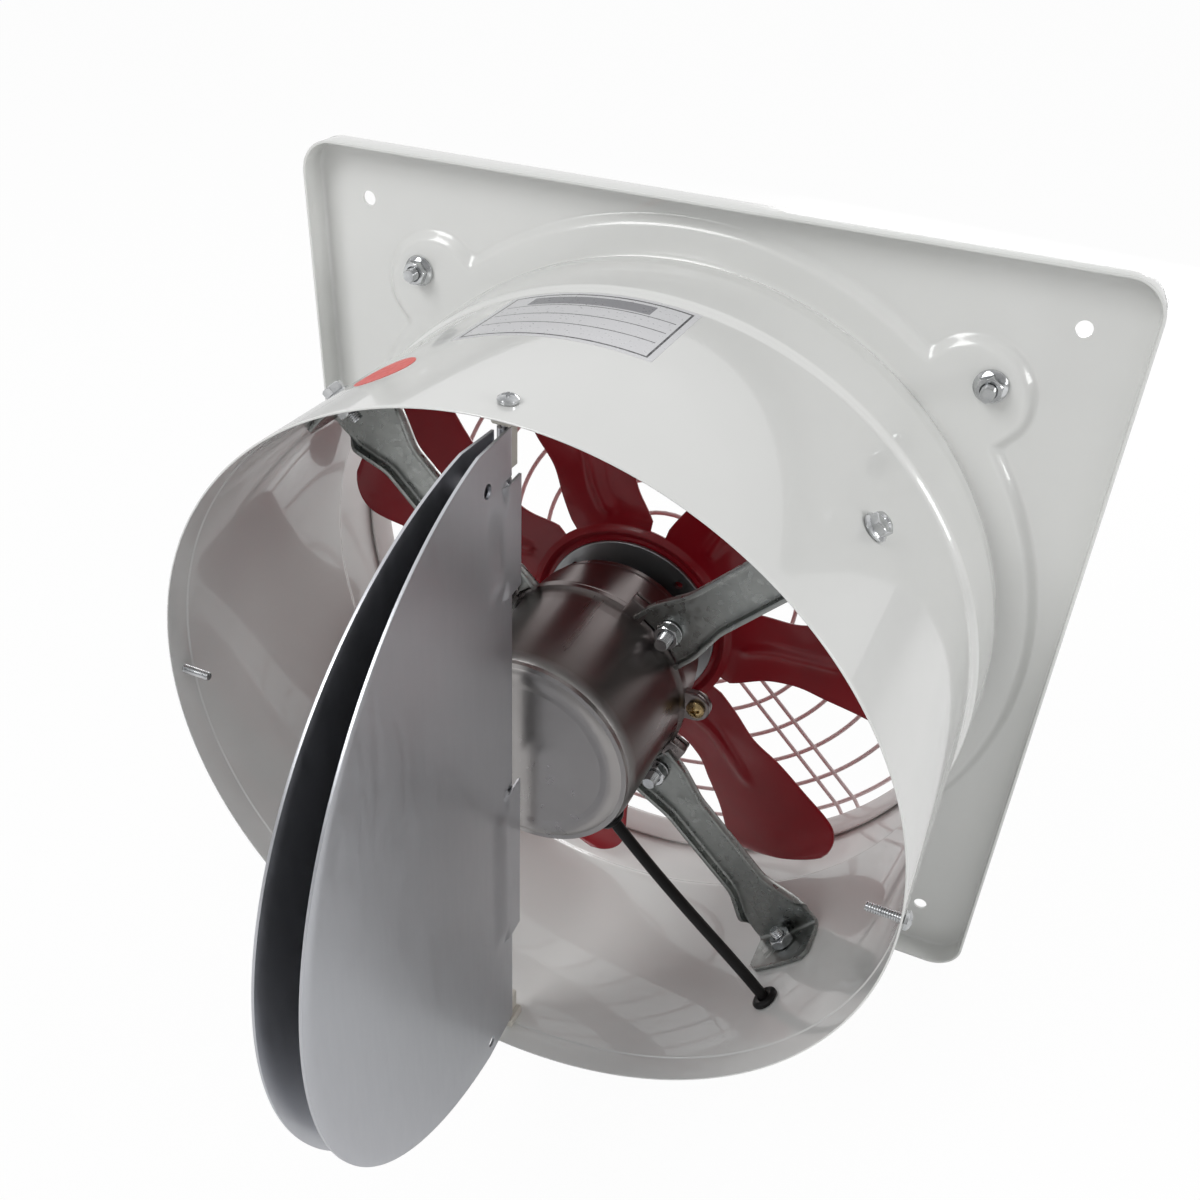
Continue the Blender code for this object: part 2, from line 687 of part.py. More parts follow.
def duct_hole_cutters(bm):
    for angle, z, radius in duct_hole_list():
        shift = HINGE_OFFSET if z == HINGE_SCREW_REACH else 0
        inner = Vector(polar(DUCT_BORE - CUT_OVERRUN, angle, z)) + Vector((shift, 0, 0))
        outer = Vector(polar(DUCT_RADIUS + CUT_OVERRUN, angle, z)) + Vector((shift, 0, 0))
        add_hole(bm, radius, inner, outer, HOLE_SEGMENTS)


def make_duct():
    outer = duct_outline()
    inner = [(radius - DUCT_SHEET, z) for radius, z in reversed(outer)]
    drum = turned("duct_drum", outer + inner, DUCT_SEGMENTS, duct_paint(), closed=True)
    combine(drum, helper("duct_holes", duct_hole_cutters), "DIFFERENCE")


def ring_radii():
    return [GUARD_OUTER_RING - GUARD_PITCH * i for i in range(GUARD_RING_COUNT)]


def add_wire(bm, points, radius, sides, cyclic):
    """A round wire through points, with mitred corners."""
    count = len(points)
    points = [Vector(p) for p in points]
    loops = []
    for i, point in enumerate(points):
        before = points[i - 1] if i or cyclic else point
        after = points[(i + 1) % count] if i < count - 1 or cyclic else point
        along = (after - before).normalized()
        side = along.cross(Vector((0, 0, 1))).normalized()
        up = side.cross(along)
        steps = [TAU * (k + 0.5) / sides for k in range(sides)]
        loops.append([point + radius * (math.cos(a) * side + math.sin(a) * up) for a in steps])
    joined_loops(bm, loops, closed_ring=cyclic)


def leg_points(angle):
    """One leg: in along one wire, round the stud at the plate's lobe and back along the other wire."""
    inner = GUARD_OUTER_RING - GUARD_PITCH * (GUARD_RING_COUNT - 1) - RING_WIRE
    half = LEG_SPREAD / 2
    near = [
        (inner, LEG_Z),
        (GUARD_OUTER_RING, LEG_Z),
        (DUCT_BORE + BELL_RADIUS, (LEG_Z + LEG_END_Z) / 2),
        (EMBOSS_RADIUS, LEG_END_Z),
        (STUD_RADIUS_FROM_AXIS, LEG_END_Z),
    ]
    there = [(radius, -half, z) for radius, z in near]
    round_stud = []
    for step in (-45, 0, 45):
        a = math.radians(step)
        round_stud.append((STUD_RADIUS_FROM_AXIS + half * math.cos(a), half * math.sin(a), LEG_END_Z))
    back = [(radius, half, z) for radius, z in reversed(near)]
    turn = Matrix.Rotation(math.radians(angle), 3, "Z")
    return [turn @ Vector(p) for p in there + round_stud + back]


def guard_rings(bm):
    for radius in ring_radii():
        count = 4 * round(RING_MIN_QUARTER + RING_MORE_QUARTER * radius / GUARD_OUTER_RING)
        add_wire(bm, circle(radius, RING_Z, count), RING_WIRE / 2, WIRE_SIDES, True)


def guard_legs(bm):
    for angle in ARM_ANGLES:
        add_wire(bm, leg_points(angle), LEG_WIRE / 2, WIRE_SIDES, False)


def make_guard():
    guard = put("wire_guard", mesh_from("wire_guard", guard_rings), guard_wire_steel())
    combine(guard, helper("guard_legs", guard_legs), "UNION")


def head_first(length, radius, head_radius, head_height, crown):
    """Profile of a round-headed screw, whose head stands on z = 0 and whose shank runs down."""
    return [
        (0, head_height),
        (head_radius - crown, head_height),
        (head_radius, head_height - crown),
        (head_radius, 0),
        (radius, 0),
        (radius, -length),
        (0, -length),
    ]


def make_guard_fasteners():
    """Studs with thin heads under the guard's legs, and flange nuts on the duct's side of the plate."""
    top = EMBOSS_DEPTH + PLATE_SHEET + SEAT_GAP
    head_face = LEG_END_Z - LEG_WIRE / 2 - SEAT_GAP
    length = top + FLANGE_NUT_HEIGHT + STUD_PROUD - head_face
    profile = head_first(length, STUD_DIAMETER / 2, STUD_HEAD_DIAMETER / 2, STUD_HEAD_HEIGHT, SEAT_GAP)
    bore = STUD_DIAMETER / 2 + SEAT_GAP

    def nut(bm):
        flange = FLANGE_NUT_FLANGE / 2
        loops = [
            circle(bore, 0, HEX_SECTION_POINTS),
            circle(flange, 0, HEX_SECTION_POINTS),
            circle(flange, FLANGE_NUT_FLANGE_HEIGHT, HEX_SECTION_POINTS),
            hexagon(FLANGE_NUT_FLATS, FLANGE_NUT_FLANGE_HEIGHT * NUT_CONE_SHARE),
            hexagon(FLANGE_NUT_FLATS, FLANGE_NUT_HEIGHT),
            circle(bore, FLANGE_NUT_HEIGHT, HEX_SECTION_POINTS),
        ]
        joined_loops(bm, loops, closed_ring=True)

    nut_mesh = mesh_from("guard_nut", nut)
    stud_mesh = None
    for i, angle in enumerate(ARM_ANGLES, 1):
        x, y, _ = polar(STUD_RADIUS_FROM_AXIS, angle, 0)
        place = {"location": (x, y, head_face), "rotation": (math.pi, 0, 0)}
        if stud_mesh is None:
            stud = turned(f"guard_bolt_{i}", profile, SCREW_SEGMENTS, zinc_plate(), **place)
            stud_mesh = baked(stud).data
        else:
            put(f"guard_bolt_{i}", stud_mesh, zinc_plate(), **place)
        put(f"guard_nut_{i}", nut_mesh, zinc_plate(), location=(x, y, top))


def lobed_outline(base, lobes, reach):
    """A circle with round-ended lobes, as (x, y) points. Each lobe is its middle angle and its width."""
    points = []
    steps = LOBE_ROUND_STEPS
    for middle, width in sorted(lobes):
        half = math.degrees(math.asin(width / 2 / base))
        centre = reach - width / 2
        points.append((middle - half, polar(base, middle - half, 0)))
        turn = Matrix.Rotation(math.radians(middle), 3, "Z")
        for k in range(steps + 1):
            a = math.pi * (k / steps - 0.5)
            local = Vector((centre + width / 2 * math.cos(a), width / 2 * math.sin(a), 0))
            points.append((middle - half + 2 * half * (k + 1) / (steps + 2), turn @ local))
        points.append((middle + half, polar(base, middle + half, 0)))
    spans = []
    for middle, width in lobes:
        clear = math.degrees(math.asin(width / 2 / base)) + LOBE_CLEAR_ANGLE
        spans.append((middle - clear, middle + clear))
    for k in range(CUP_SEGMENTS):
        angle = 360 * k / CUP_SEGMENTS
        if not any(low < angle + turn < high for low, high in spans for turn in (-360, 0, 360)):
            points.append((angle, polar(base, angle, 0)))
    points.sort(key=lambda item: item[0])
    return [(place[0], place[1]) for _, place in points]


def quarter_angles(first):
    return [first + 90 * k for k in range(4)]


def holes_on_circle(radius, angles, hole_radius):
    loops = []
    for angle in angles:
        x, y, _ = polar(radius, angle, 0)
        loops.append(circle(hole_radius / math.cos(math.pi / HOLE_SEGMENTS), 0, HOLE_SEGMENTS, (x, y)))
    return loops


def cup_profile(radius, rim, end, round_radius, rim_step, rim_length):
    """Closed profile of a drawn cup: wall, round shoulder, end with a shaft hole, and a bearing pocket.

    rim and end are the z of the open rim and of the closed end. rim_step and rim_length give its wider rim.
    """
    way = 1 if end > rim else -1
    inner = radius - CUP_SHEET
    pocket = BEARING_OUTER_RADIUS + SEAT_GAP
    inside = end - way * CUP_SHEET
    outer = [(radius + rim_step, rim)]
    if rim_step:
        outer.append((radius + rim_step, rim + way * (rim_length - rim_step)))
        outer.append((radius, rim + way * rim_length))
    outer.append((radius, end - way * round_radius))
    turn = math.pi / 4
    drop = round_radius * (1 - math.sin(turn))
    outer.append((radius - drop, end - way * drop))
    outer.append((radius - round_radius, end))
    hole = [(SHAFT_HOLE_RADIUS, end), (SHAFT_HOLE_RADIUS, inside)]
    seat = [
        (pocket, inside),
        (pocket, inside - way * BEARING_WIDTH),
        (pocket + POCKET_WALL, inside - way * BEARING_WIDTH),
        (pocket + POCKET_WALL, inside),
    ]
    inner_drop = (round_radius - CUP_SHEET) * (1 - math.sin(turn))
    wall = [
        (inner - (round_radius - CUP_SHEET), inside),
        (inner - inner_drop, inside - way * inner_drop),
        (inner, inside - way * (round_radius - CUP_SHEET)),
    ]
    if rim_step:
        wall.append((inner, rim + way * rim_length))
        wall.append((inner + rim_step, rim + way * (rim_length - rim_step)))
    wall.append((inner + rim_step, rim))
    profile = outer + hole + seat + wall
    return profile[::-1] if way > 0 else profile


def add_flange(cup, name, outline, bore, holes, z):
    """Joins a flat flange with lobes to a cup's rim."""
    mesh = flat_mesh(name, [outline, circle(bore, 0, CUP_SEGMENTS)] + holes, FLANGE_SHEET)
    flange = bpy.data.objects.new(name, mesh)
    flange.location = (0, 0, z)
    flange.parent = AXIS
    flange.hide_render = True
    flange.display_type = "WIRE"
    HELPERS.objects.link(flange)
    combine(cup, flange, "UNION")


def make_motor_housing():
    ears = [(angle, EAR_WIDTH) for angle in EAR_ANGLES]
    lugs = [(angle, LUG_WIDTH) for angle in quarter_angles(LUG_ANGLE)]
    pads = [(angle, PAD_WIDTH) for angle in ARM_ANGLES]
    ear_holes = holes_on_circle(
        EAR_SCREW_CIRCLE_RADIUS, EAR_ANGLES, EAR_SCREW_DIAMETER / 2 + HOLE_EASE
    )
    pad_holes = holes_on_circle(
        ARM_MOTOR_BOLT_RADIUS, ARM_ANGLES, ARM_MOTOR_BOLT_DIAMETER / 2 + HOLE_EASE
    )
    ring = JOINT_RING_RADIUS - SEAT_GAP

    front = turned(
        "motor_front_cup",
        cup_profile(FRONT_CUP_RADIUS, MOTOR_JOINT_REACH - SEAT_GAP, FRONT_CUP_Z, FRONT_CUP_ROUND, 0, 0),
        CUP_SEGMENTS,
        drawn_steel(),
        closed=True,
    )
    front_outline = lobed_outline(ring, ears + pads + lugs, EAR_REACH)
    front_bore = FRONT_CUP_RADIUS - CUP_SHEET / 2
    add_flange(front, "front_flange", front_outline, front_bore, ear_holes + pad_holes, FRONT_FLANGE_Z)

    step = JOINT_RING_RADIUS - REAR_CUP_RADIUS
    rear_profile = cup_profile(
        REAR_CUP_RADIUS, MOTOR_JOINT_REACH, REAR_CUP_Z, REAR_CUP_ROUND, step, JOINT_RING_LENGTH
    )
    rear = turned("motor_rear_cup", rear_profile, CUP_SEGMENTS, drawn_steel(), closed=True)
    rear_outline = lobed_outline(ring, ears, EAR_REACH)
    rear_bore = JOINT_RING_RADIUS - CUP_SHEET / 2
    add_flange(rear, "rear_flange", rear_outline, rear_bore, ear_holes, MOTOR_JOINT_REACH)

    def cable_hole(bm):
        start = polar(REAR_CUP_RADIUS - CUT_OVERRUN, CABLE_EXIT_ANGLE, CABLE_REACH)
        end = polar(REAR_CUP_RADIUS + CUT_OVERRUN, CABLE_EXIT_ANGLE, CABLE_REACH)
        add_hole(bm, RUBBER_NECK + HOLE_EASE, start, end, HOLE_SEGMENTS)

    combine(rear, helper("cable_hole", cable_hole), "DIFFERENCE")


def make_ear_screws():
    """Cross screws that clamp the two flanges together at the ears."""
    profile = head_first(
        EAR_SCREW_LENGTH,
        EAR_SCREW_DIAMETER / 2,
        EAR_SCREW_HEAD_DIAMETER / 2,
        EAR_SCREW_HEAD_HEIGHT,
        EAR_SCREW_HEAD_HEIGHT / 3,
    )
    face = MOTOR_JOINT_REACH + FLANGE_SHEET + SEAT_GAP
    mesh = None
    for i, angle in enumerate(EAR_ANGLES, 1):
        place = {"location": polar(EAR_SCREW_CIRCLE_RADIUS, angle, face)}
        if mesh is None:
            screw = turned(f"motor_ear_screw_{i}", profile, SCREW_SEGMENTS, yellow_zinc(), **place)
            mesh = baked(screw).data
        else:
            put(f"motor_ear_screw_{i}", mesh, yellow_zinc(), **place)


def slot_corners(angle, inner, outer, width):
    """The corners of one slot's outline, from its inner left to its inner right."""
    turn = Matrix.Rotation(angle, 3, "Z")
    half = width / 2
    local = [(inner, -half), (outer, -half), (outer, half), (inner, half)]
    return [tuple((turn @ Vector((x, y, 0)))[:2]) for x, y in local]


def stator_bore_outline():
    """The stator's bore with its winding slots, as one outline."""
    points = []
    for k in range(SLOT_COUNT):
        angle = TAU * k / SLOT_COUNT
        mouth = math.asin(SLOT_WIDTH / 2 / STATOR_BORE_RADIUS)
        for share in TOOTH_SHARES:
            a = angle - TAU / SLOT_COUNT + mouth + share * (TAU / SLOT_COUNT - 2 * mouth)
            points.append((STATOR_BORE_RADIUS * math.cos(a), STATOR_BORE_RADIUS * math.sin(a)))
        foot = STATOR_BORE_RADIUS * math.cos(mouth)
        points += slot_corners(angle, foot, SLOT_OUTER_RADIUS, SLOT_WIDTH)
    return points


def make_stator():
    core_mesh = flat_mesh(
        "stator_core", [circle(STATOR_RADIUS, 0, CUP_SEGMENTS), stator_bore_outline()], STATOR_LENGTH
    )
    put("stator_core", core_mesh, core_steel(), location=(0, 0, STATOR_Z))

    low = STATOR_Z - SEAT_GAP
    high = STATOR_Z + STATOR_LENGTH + SEAT_GAP

    def end_ring(bottom, top):
        bevel = WINDING_HEIGHT / 4
        return [
            (WINDING_OUTER_RADIUS - bevel, top),
            (WINDING_OUTER_RADIUS, top - bevel),
            (WINDING_OUTER_RADIUS, bottom + bevel),
            (WINDING_OUTER_RADIUS - bevel, bottom),
            (WINDING_INNER_RADIUS, bottom),
            (WINDING_INNER_RADIUS, top),
        ]

    windings = turned(
        "stator_windings", end_ring(low - WINDING_HEIGHT, low), ROUND_SEGMENTS, copper_winding(), closed=True
    )

    def slot_fill(bm):
        for k in range(SLOT_COUNT):
            corners = slot_corners(
                TAU * k / SLOT_COUNT,
                SLOT_INNER_RADIUS,
                SLOT_OUTER_RADIUS - SEAT_GAP,
                SLOT_WIDTH - 2 * SEAT_GAP,
            )
            sink = WINDING_HEIGHT / 3
            loops = [[(x, y, z) for x, y in corners] for z in (low - sink, high + sink)]
            joined_loops(bm, loops)

    combine(windings, helper("slot_fill", slot_fill), "UNION")
    far_profile = end_ring(high, high + WINDING_HEIGHT)
    far_ring = turned("far_winding_ring", far_profile, ROUND_SEGMENTS, copper_winding(), closed=True)
    far_ring.hide_render = True
    far_ring.display_type = "WIRE"
    PART.objects.unlink(far_ring)
    HELPERS.objects.link(far_ring)
    combine(windings, far_ring, "UNION")


def bearing_profile(z):
    inner = SHAFT_RADIUS + SEAT_GAP
    width = BEARING_WIDTH - SEAT_GAP
    return [
        (BEARING_OUTER_RADIUS, z + width),
        (BEARING_OUTER_RADIUS, z),
        (inner, z),
        (inner, z + width),
    ]


def make_bearings():
    front_z = FRONT_CUP_Z + CUP_SHEET + SEAT_GAP
    rear_z = REAR_CUP_Z - CUP_SHEET - BEARING_WIDTH
    for name, z in (("front_bearing", front_z), ("rear_bearing", rear_z)):
        turned(name, bearing_profile(z), ROUND_SEGMENTS, ground_steel(), closed=True)


def make_rotor():
    """The turning parts inside the motor: shaft and rotor core."""
    shaft_end = REAR_CUP_Z - CUP_SHEET - SEAT_GAP
    chamfer = SHAFT_RADIUS / 8
    profile = [
        (0, shaft_end),
        (SHAFT_RADIUS, shaft_end),
        (SHAFT_RADIUS, SHAFT_INLET_REACH + chamfer),
        (SHAFT_RADIUS - chamfer, SHAFT_INLET_REACH),
        (0, SHAFT_INLET_REACH),
    ]
    turned("motor_shaft", profile, ROUND_SEGMENTS, ground_steel(), parent=ROTOR)
    bore = SHAFT_RADIUS + SEAT_GAP
    core = [
        (ROTOR_RADIUS, STATOR_Z + STATOR_LENGTH),
        (ROTOR_RADIUS, STATOR_Z),
        (bore, STATOR_Z),
        (bore, STATOR_Z + STATOR_LENGTH),
    ]
    turned("rotor_core", core, ROUND_SEGMENTS, core_steel(), closed=True, parent=ROTOR)


def arm_stations():
    """Radius, z, half width and flange height of the arm's middle surface, from the motor to its tab."""
    z = ARM_FACE - ARM_SHEET / 2
    bend = ARM_BEND_RADIUS - ARM_SHEET / 2
    inner, waist, end = ARM_INNER_WIDTH / 2, ARM_WAIST_WIDTH / 2, ARM_END_WIDTH / 2
    corner = TAB_RADIUS - bend
    tab_end = ARM_FACE + ARM_TAB_LENGTH
    return [
        (ARM_INNER_RADIUS, z, inner, ARM_FLANGE),
        (ARM_SHOULDER_RADIUS, z, inner, ARM_FLANGE),
        (ARM_WAIST_START, z, waist, ARM_FLANGE),
        (ARM_WAIST_END, z, waist, ARM_FLANGE),
        (ARM_END_START, z, end, 0),
        (corner, z, end, 0),
        (TAB_RADIUS - bend * (1 - math.sin(math.pi / 4)), z + bend * (1 - math.sin(math.pi / 4)), end, 0),
        (TAB_RADIUS, z + bend, end, 0),
        (TAB_RADIUS, tab_end - ARM_TAB_CHAMFER, end, 0),
        (TAB_RADIUS, tab_end, end - ARM_TAB_CHAMFER, 0),
    ]


def arm_surface(bm):
    """The arm's web with its two side flanges. The tab lies along the duct's round wall."""
    rows = []
    for radius, z, half, flange in arm_stations():
        points = []
        for share in ARM_WEB_SHARES:
            across = half * share
            reach = radius
            if radius > ARM_END_START:
                reach = radius - TAB_RADIUS + math.sqrt(TAB_RADIUS**2 - across**2)
            elif radius == ARM_INNER_RADIUS:
                reach = math.sqrt(ARM_INNER_RADIUS**2 - across**2)
            points.append(bm.verts.new((reach, across, z)))
        left = right = None
        if flange:
            rise = flange - ARM_SHEET / 2
            left = bm.verts.new((points[0].co.x, points[0].co.y, z + rise + ARM_SHEET / 2))
            right = bm.verts.new((points[-1].co.x, points[-1].co.y, z + rise + ARM_SHEET / 2))
        rows.append((points, left or points[0], right or points[-1]))
    for (low, low_left, low_right), (high, high_left, high_right) in zip(rows, rows[1:]):
        for i in range(len(low) - 1):
            bm.faces.new((low[i], low[i + 1], high[i + 1], high[i]))
        if low_left is not low[0]:
            side = [low_left, low[0], high[0]] + ([high_left] if high_left is not high[0] else [])
            bm.faces.new(side)
            side = [low_right, low[-1], high[-1]] + ([high_right] if high_right is not high[-1] else [])
            bm.faces.new(side[::-1])


def make_arms():
    """One arm, thickened and drilled, and set at four angles."""
    arm = put("arm_1", mesh_from("arm", arm_surface), zinc_plate())
    sheet = arm.modifiers.new("sheet", "SOLIDIFY")
    sheet.thickness = ARM_SHEET
    sheet.offset = 0
    sheet.use_even_offset = True

    def holes(bm):
        low = (ARM_MOTOR_BOLT_RADIUS, 0, ARM_FACE - ARM_SHEET - CUT_OVERRUN)
        high = (ARM_MOTOR_BOLT_RADIUS, 0, ARM_FACE + CUT_OVERRUN)
        add_hole(bm, ARM_MOTOR_BOLT_DIAMETER / 2 + HOLE_EASE, low, high, HOLE_SEGMENTS)
        inner = (TAB_RADIUS - ARM_SHEET - CUT_OVERRUN, 0, ARM_DUCT_BOLT_REACH)
        outer = (TAB_RADIUS + ARM_SHEET + CUT_OVERRUN, 0, ARM_DUCT_BOLT_REACH)
        add_hole(bm, ARM_DUCT_BOLT_DIAMETER / 2 + HOLE_EASE, inner, outer, HOLE_SEGMENTS)

    combine(arm, helper("arm_holes", holes), "DIFFERENCE")
    baked(arm)
    arm.rotation_euler = (0, 0, math.radians(ARM_ANGLES[0]))
    for i, angle in enumerate(ARM_ANGLES[1:], 2):
        put(f"arm_{i}", arm.data, zinc_plate(), rotation=(0, 0, math.radians(angle)))


def hex_nut(bm, flats, height, bore):
    """A plain hexagon nut standing on z = 0, with a six-sided bore."""
    outer = flats / 2 / math.cos(math.pi / 6)
    inner = bore / math.cos(math.pi / 6)
    loops = [circle(inner, 0, 6), circle(outer, 0, 6), circle(outer, height, 6), circle(inner, height, 6)]
    joined_loops(bm, loops, closed_ring=True)


def make_arm_fasteners():
    motor_shank = ARM_MOTOR_BOLT_DIAMETER / 2
    motor_face = FRONT_FLANGE_Z - SEAT_GAP
    motor_nut_z = ARM_FACE + SEAT_GAP
    motor_tip = motor_nut_z + HEX_HEIGHT + MOTOR_BOLT_PROUD

    def motor_bolt(bm):
        loops = [
            hexagon(HEX_FLATS, -HEX_HEIGHT),
            hexagon(HEX_FLATS, 0),
            circle(motor_shank, 0, HEX_SECTION_POINTS),
            circle(motor_shank, motor_tip - motor_face, HEX_SECTION_POINTS),
        ]
        joined_loops(bm, loops)

    def duct_bolt(bm):
        shank = ARM_DUCT_BOLT_DIAMETER / 2
        flange = DUCT_HEX_FLANGE / 2
        inside = WALL_OUTER - (TAB_RADIUS - ARM_SHEET / 2) + SEAT_GAP + DUCT_HEX_HEIGHT + BOLT_PROUD
        loops = [
            circle(shank, -inside, HEX_SECTION_POINTS),
            circle(shank, 0, HEX_SECTION_POINTS),
            circle(flange, 0, HEX_SECTION_POINTS),
            circle(flange, DUCT_HEX_FLANGE_HEIGHT, HEX_SECTION_POINTS),
            hexagon(DUCT_HEX_FLATS, DUCT_HEX_FLANGE_HEIGHT * NUT_CONE_SHARE),
            hexagon(DUCT_HEX_FLATS, DUCT_HEX_FLANGE_HEIGHT + DUCT_HEX_HEIGHT),
        ]
        joined_loops(bm, loops)

    motor_bolt_mesh = mesh_from("arm_motor_bolt", motor_bolt)
    duct_bolt_mesh = mesh_from("arm_duct_bolt", duct_bolt)
    motor_nut_mesh = mesh_from(
        "arm_motor_nut", lambda bm: hex_nut(bm, HEX_FLATS, HEX_HEIGHT, motor_shank + SEAT_GAP)
    )
    duct_bore = ARM_DUCT_BOLT_DIAMETER / 2 + SEAT_GAP
    duct_nut_mesh = mesh_from(
        "arm_duct_nut", lambda bm: hex_nut(bm, DUCT_HEX_FLATS, DUCT_HEX_HEIGHT, duct_bore)
    )
    nut_face = TAB_RADIUS - ARM_SHEET / 2 - SEAT_GAP - DUCT_HEX_HEIGHT
    for i, angle in enumerate(ARM_ANGLES, 1):
        bolt_place = polar(ARM_MOTOR_BOLT_RADIUS, angle, motor_face)
        nut_place = polar(ARM_MOTOR_BOLT_RADIUS, angle, motor_nut_z)
        flat_inwards = (0, 0, math.radians(angle) + math.pi / 6)
        put(f"arm_motor_bolt_{i}", motor_bolt_mesh, zinc_plate(), location=bolt_place, rotation=flat_inwards)
        put(f"arm_motor_nut_{i}", motor_nut_mesh, zinc_plate(), location=nut_place, rotation=flat_inwards)
        bolt_at = radial_place(angle, WALL_OUTER, ARM_DUCT_BOLT_REACH)
        nut_at = radial_place(angle, nut_face, ARM_DUCT_BOLT_REACH)
        put(f"arm_duct_bolt_{i}", duct_bolt_mesh, zinc_plate(), **bolt_at)
        put(f"arm_duct_nut_{i}", duct_nut_mesh, zinc_plate(), **nut_at)


def make_hub_disc():
    """Disc and boss on the shaft, which carry the impeller from behind."""
    bottom = HUB_REACH + SEAT_GAP
    bore = SHAFT_RADIUS + SEAT_GAP
    profile = [
        (HUB_BOSS_RADIUS, HUB_BOSS_END),
        (HUB_BOSS_RADIUS, bottom + HUB_DISC_SHEET),
        (HUB_DISC_RADIUS, bottom + HUB_DISC_SHEET),
        (HUB_DISC_RADIUS, bottom),
        (bore, bottom),
        (bore, HUB_BOSS_END),
    ]
    disc = turned("hub_disc", profile, CUP_SEGMENTS, zinc_plate(), closed=True, parent=ROTOR)

    def holes(bm):
        for k in range(HUB_DISC_HOLES):
            angle = EAR_ANGLE + 360 * k / HUB_DISC_HOLES
            low = polar(HUB_DISC_HOLE_CIRCLE_RADIUS, angle, bottom - CUT_OVERRUN)
            high = polar(HUB_DISC_HOLE_CIRCLE_RADIUS, angle, bottom + HUB_DISC_SHEET + CUT_OVERRUN)
            add_hole(bm, HUB_DISC_HOLE_DIAMETER / 2, low, high, HOLE_SEGMENTS)

    combine(disc, helper("hub_disc_holes", holes, ROTOR), "DIFFERENCE")


# The blade's two edges, in degrees from the notch on its outlet side, at these shares from root to tip
BLADE_ROW_SHARES = (0, 0.13, 0.27, 0.45, 0.65, 0.85, 0.95, 1)
OUTLET_EDGE_ANGLES = (-4.2, -7.0, -9.8, -9.4, -10.0, -10.6, -11.6, -12.5)
INLET_EDGE_ANGLES = (-47.2, -38.8, -36.1, -37.2, -38.4, -40.2, -40.9, -41.0)
BLADE_COLUMN_SHARES = (0, 0.22, 0.42, 0.5, 0.58, 0.78, 1)


def blade_point(row, column):
    """A point of the blade that lies clockwise of the notch at zero degrees."""
    span = BLADE_TIP_RADIUS - BLADE_ROOT_RADIUS
    radius = BLADE_ROOT_RADIUS + BLADE_ROW_SHARES[row] * span
    across = BLADE_COLUMN_SHARES[column]
    low, high = INLET_EDGE_ANGLES[row], OUTLET_EDGE_ANGLES[row]
    for corner, is_outlet in ((BLADE_INLET_CORNER, False), (BLADE_OUTLET_CORNER, True)):
        past = radius - (BLADE_TIP_RADIUS - corner)
        if past > 0:
            inset = math.degrees((corner - math.sqrt(max(corner**2 - past**2, 0))) / radius)
            low, high = (low, high - inset) if is_outlet else (low + inset, high)
    angle = low + across * (high - low)
    rise = BLADE_ROW_SHARES[row]
    z = HUB_REACH - HUB_SHEET / 2 + rise * (across * BLADE_OUTLET_RISE - (1 - across) * BLADE_INLET_DROP)
    z += rise * BLADE_CAMBER * 4 * across * (1 - across)
    if across == 0.5 and row and rise < BLADE_RIB_SHARE:
        z += BLADE_RIB_HEIGHT
    return polar(radius, NOTCH_ANGLE + angle, z)


def impeller_surface(bm):
    """Hub and seven blades in one sheet: rings of points out to the root, and a grid for each blade."""
    z = HUB_REACH - HUB_SHEET / 2
    half_ring = HUB_RING_WIDTH / 2
    hub_rows = [
        (IMPELLER_BORE_RADIUS, z),
        (HUB_RING_RADIUS - half_ring, z),
        (HUB_RING_RADIUS, z + HUB_RING_HEIGHT),
        (HUB_RING_RADIUS + half_ring, z),
    ]
    pitch = 360 / BLADE_COUNT
    columns = len(BLADE_COLUMN_SHARES)
    root_angles = [INLET_EDGE_ANGLES[0] + s * (OUTLET_EDGE_ANGLES[0] - INLET_EDGE_ANGLES[0])
                   for s in BLADE_COLUMN_SHARES]
    rings = []
    for radius, height in hub_rows:
        ring = []
        for blade in range(BLADE_COUNT):
            for angle in root_angles:
                ring.append(bm.verts.new(polar(radius, NOTCH_ANGLE + blade * pitch + angle, height)))
        rings.append(ring)
    roots = []
    for blade in range(BLADE_COUNT):
        turn = Matrix.Rotation(math.radians(blade * pitch), 3, "Z")
        grid = []
        for row in range(len(BLADE_ROW_SHARES)):
            grid.append([bm.verts.new(turn @ Vector(blade_point(row, c))) for c in range(columns)])
        for low, high in zip(grid, grid[1:]):
            for i in range(columns - 1):
                bm.faces.new((low[i], low[i + 1], high[i + 1], high[i]))
        roots.append(grid[0])
    for low, high in zip(rings, rings[1:]):
        for i in range(len(low)):
            j = (i + 1) % len(low)
            bm.faces.new((low[i], low[j], high[j], high[i]))
    outer = rings[-1]
    for blade, root in enumerate(roots):
        start = blade * columns
        for i in range(columns - 1):
            bm.faces.new((outer[start + i], outer[start + i + 1], root[i + 1], root[i]))


def make_impeller():
    impeller = put("impeller", mesh_from("impeller", impeller_surface), blade_paint(), parent=ROTOR)
    sheet = impeller.modifiers.new("sheet", "SOLIDIFY")
    sheet.thickness = HUB_SHEET
    sheet.offset = 0
    sheet.use_even_offset = True


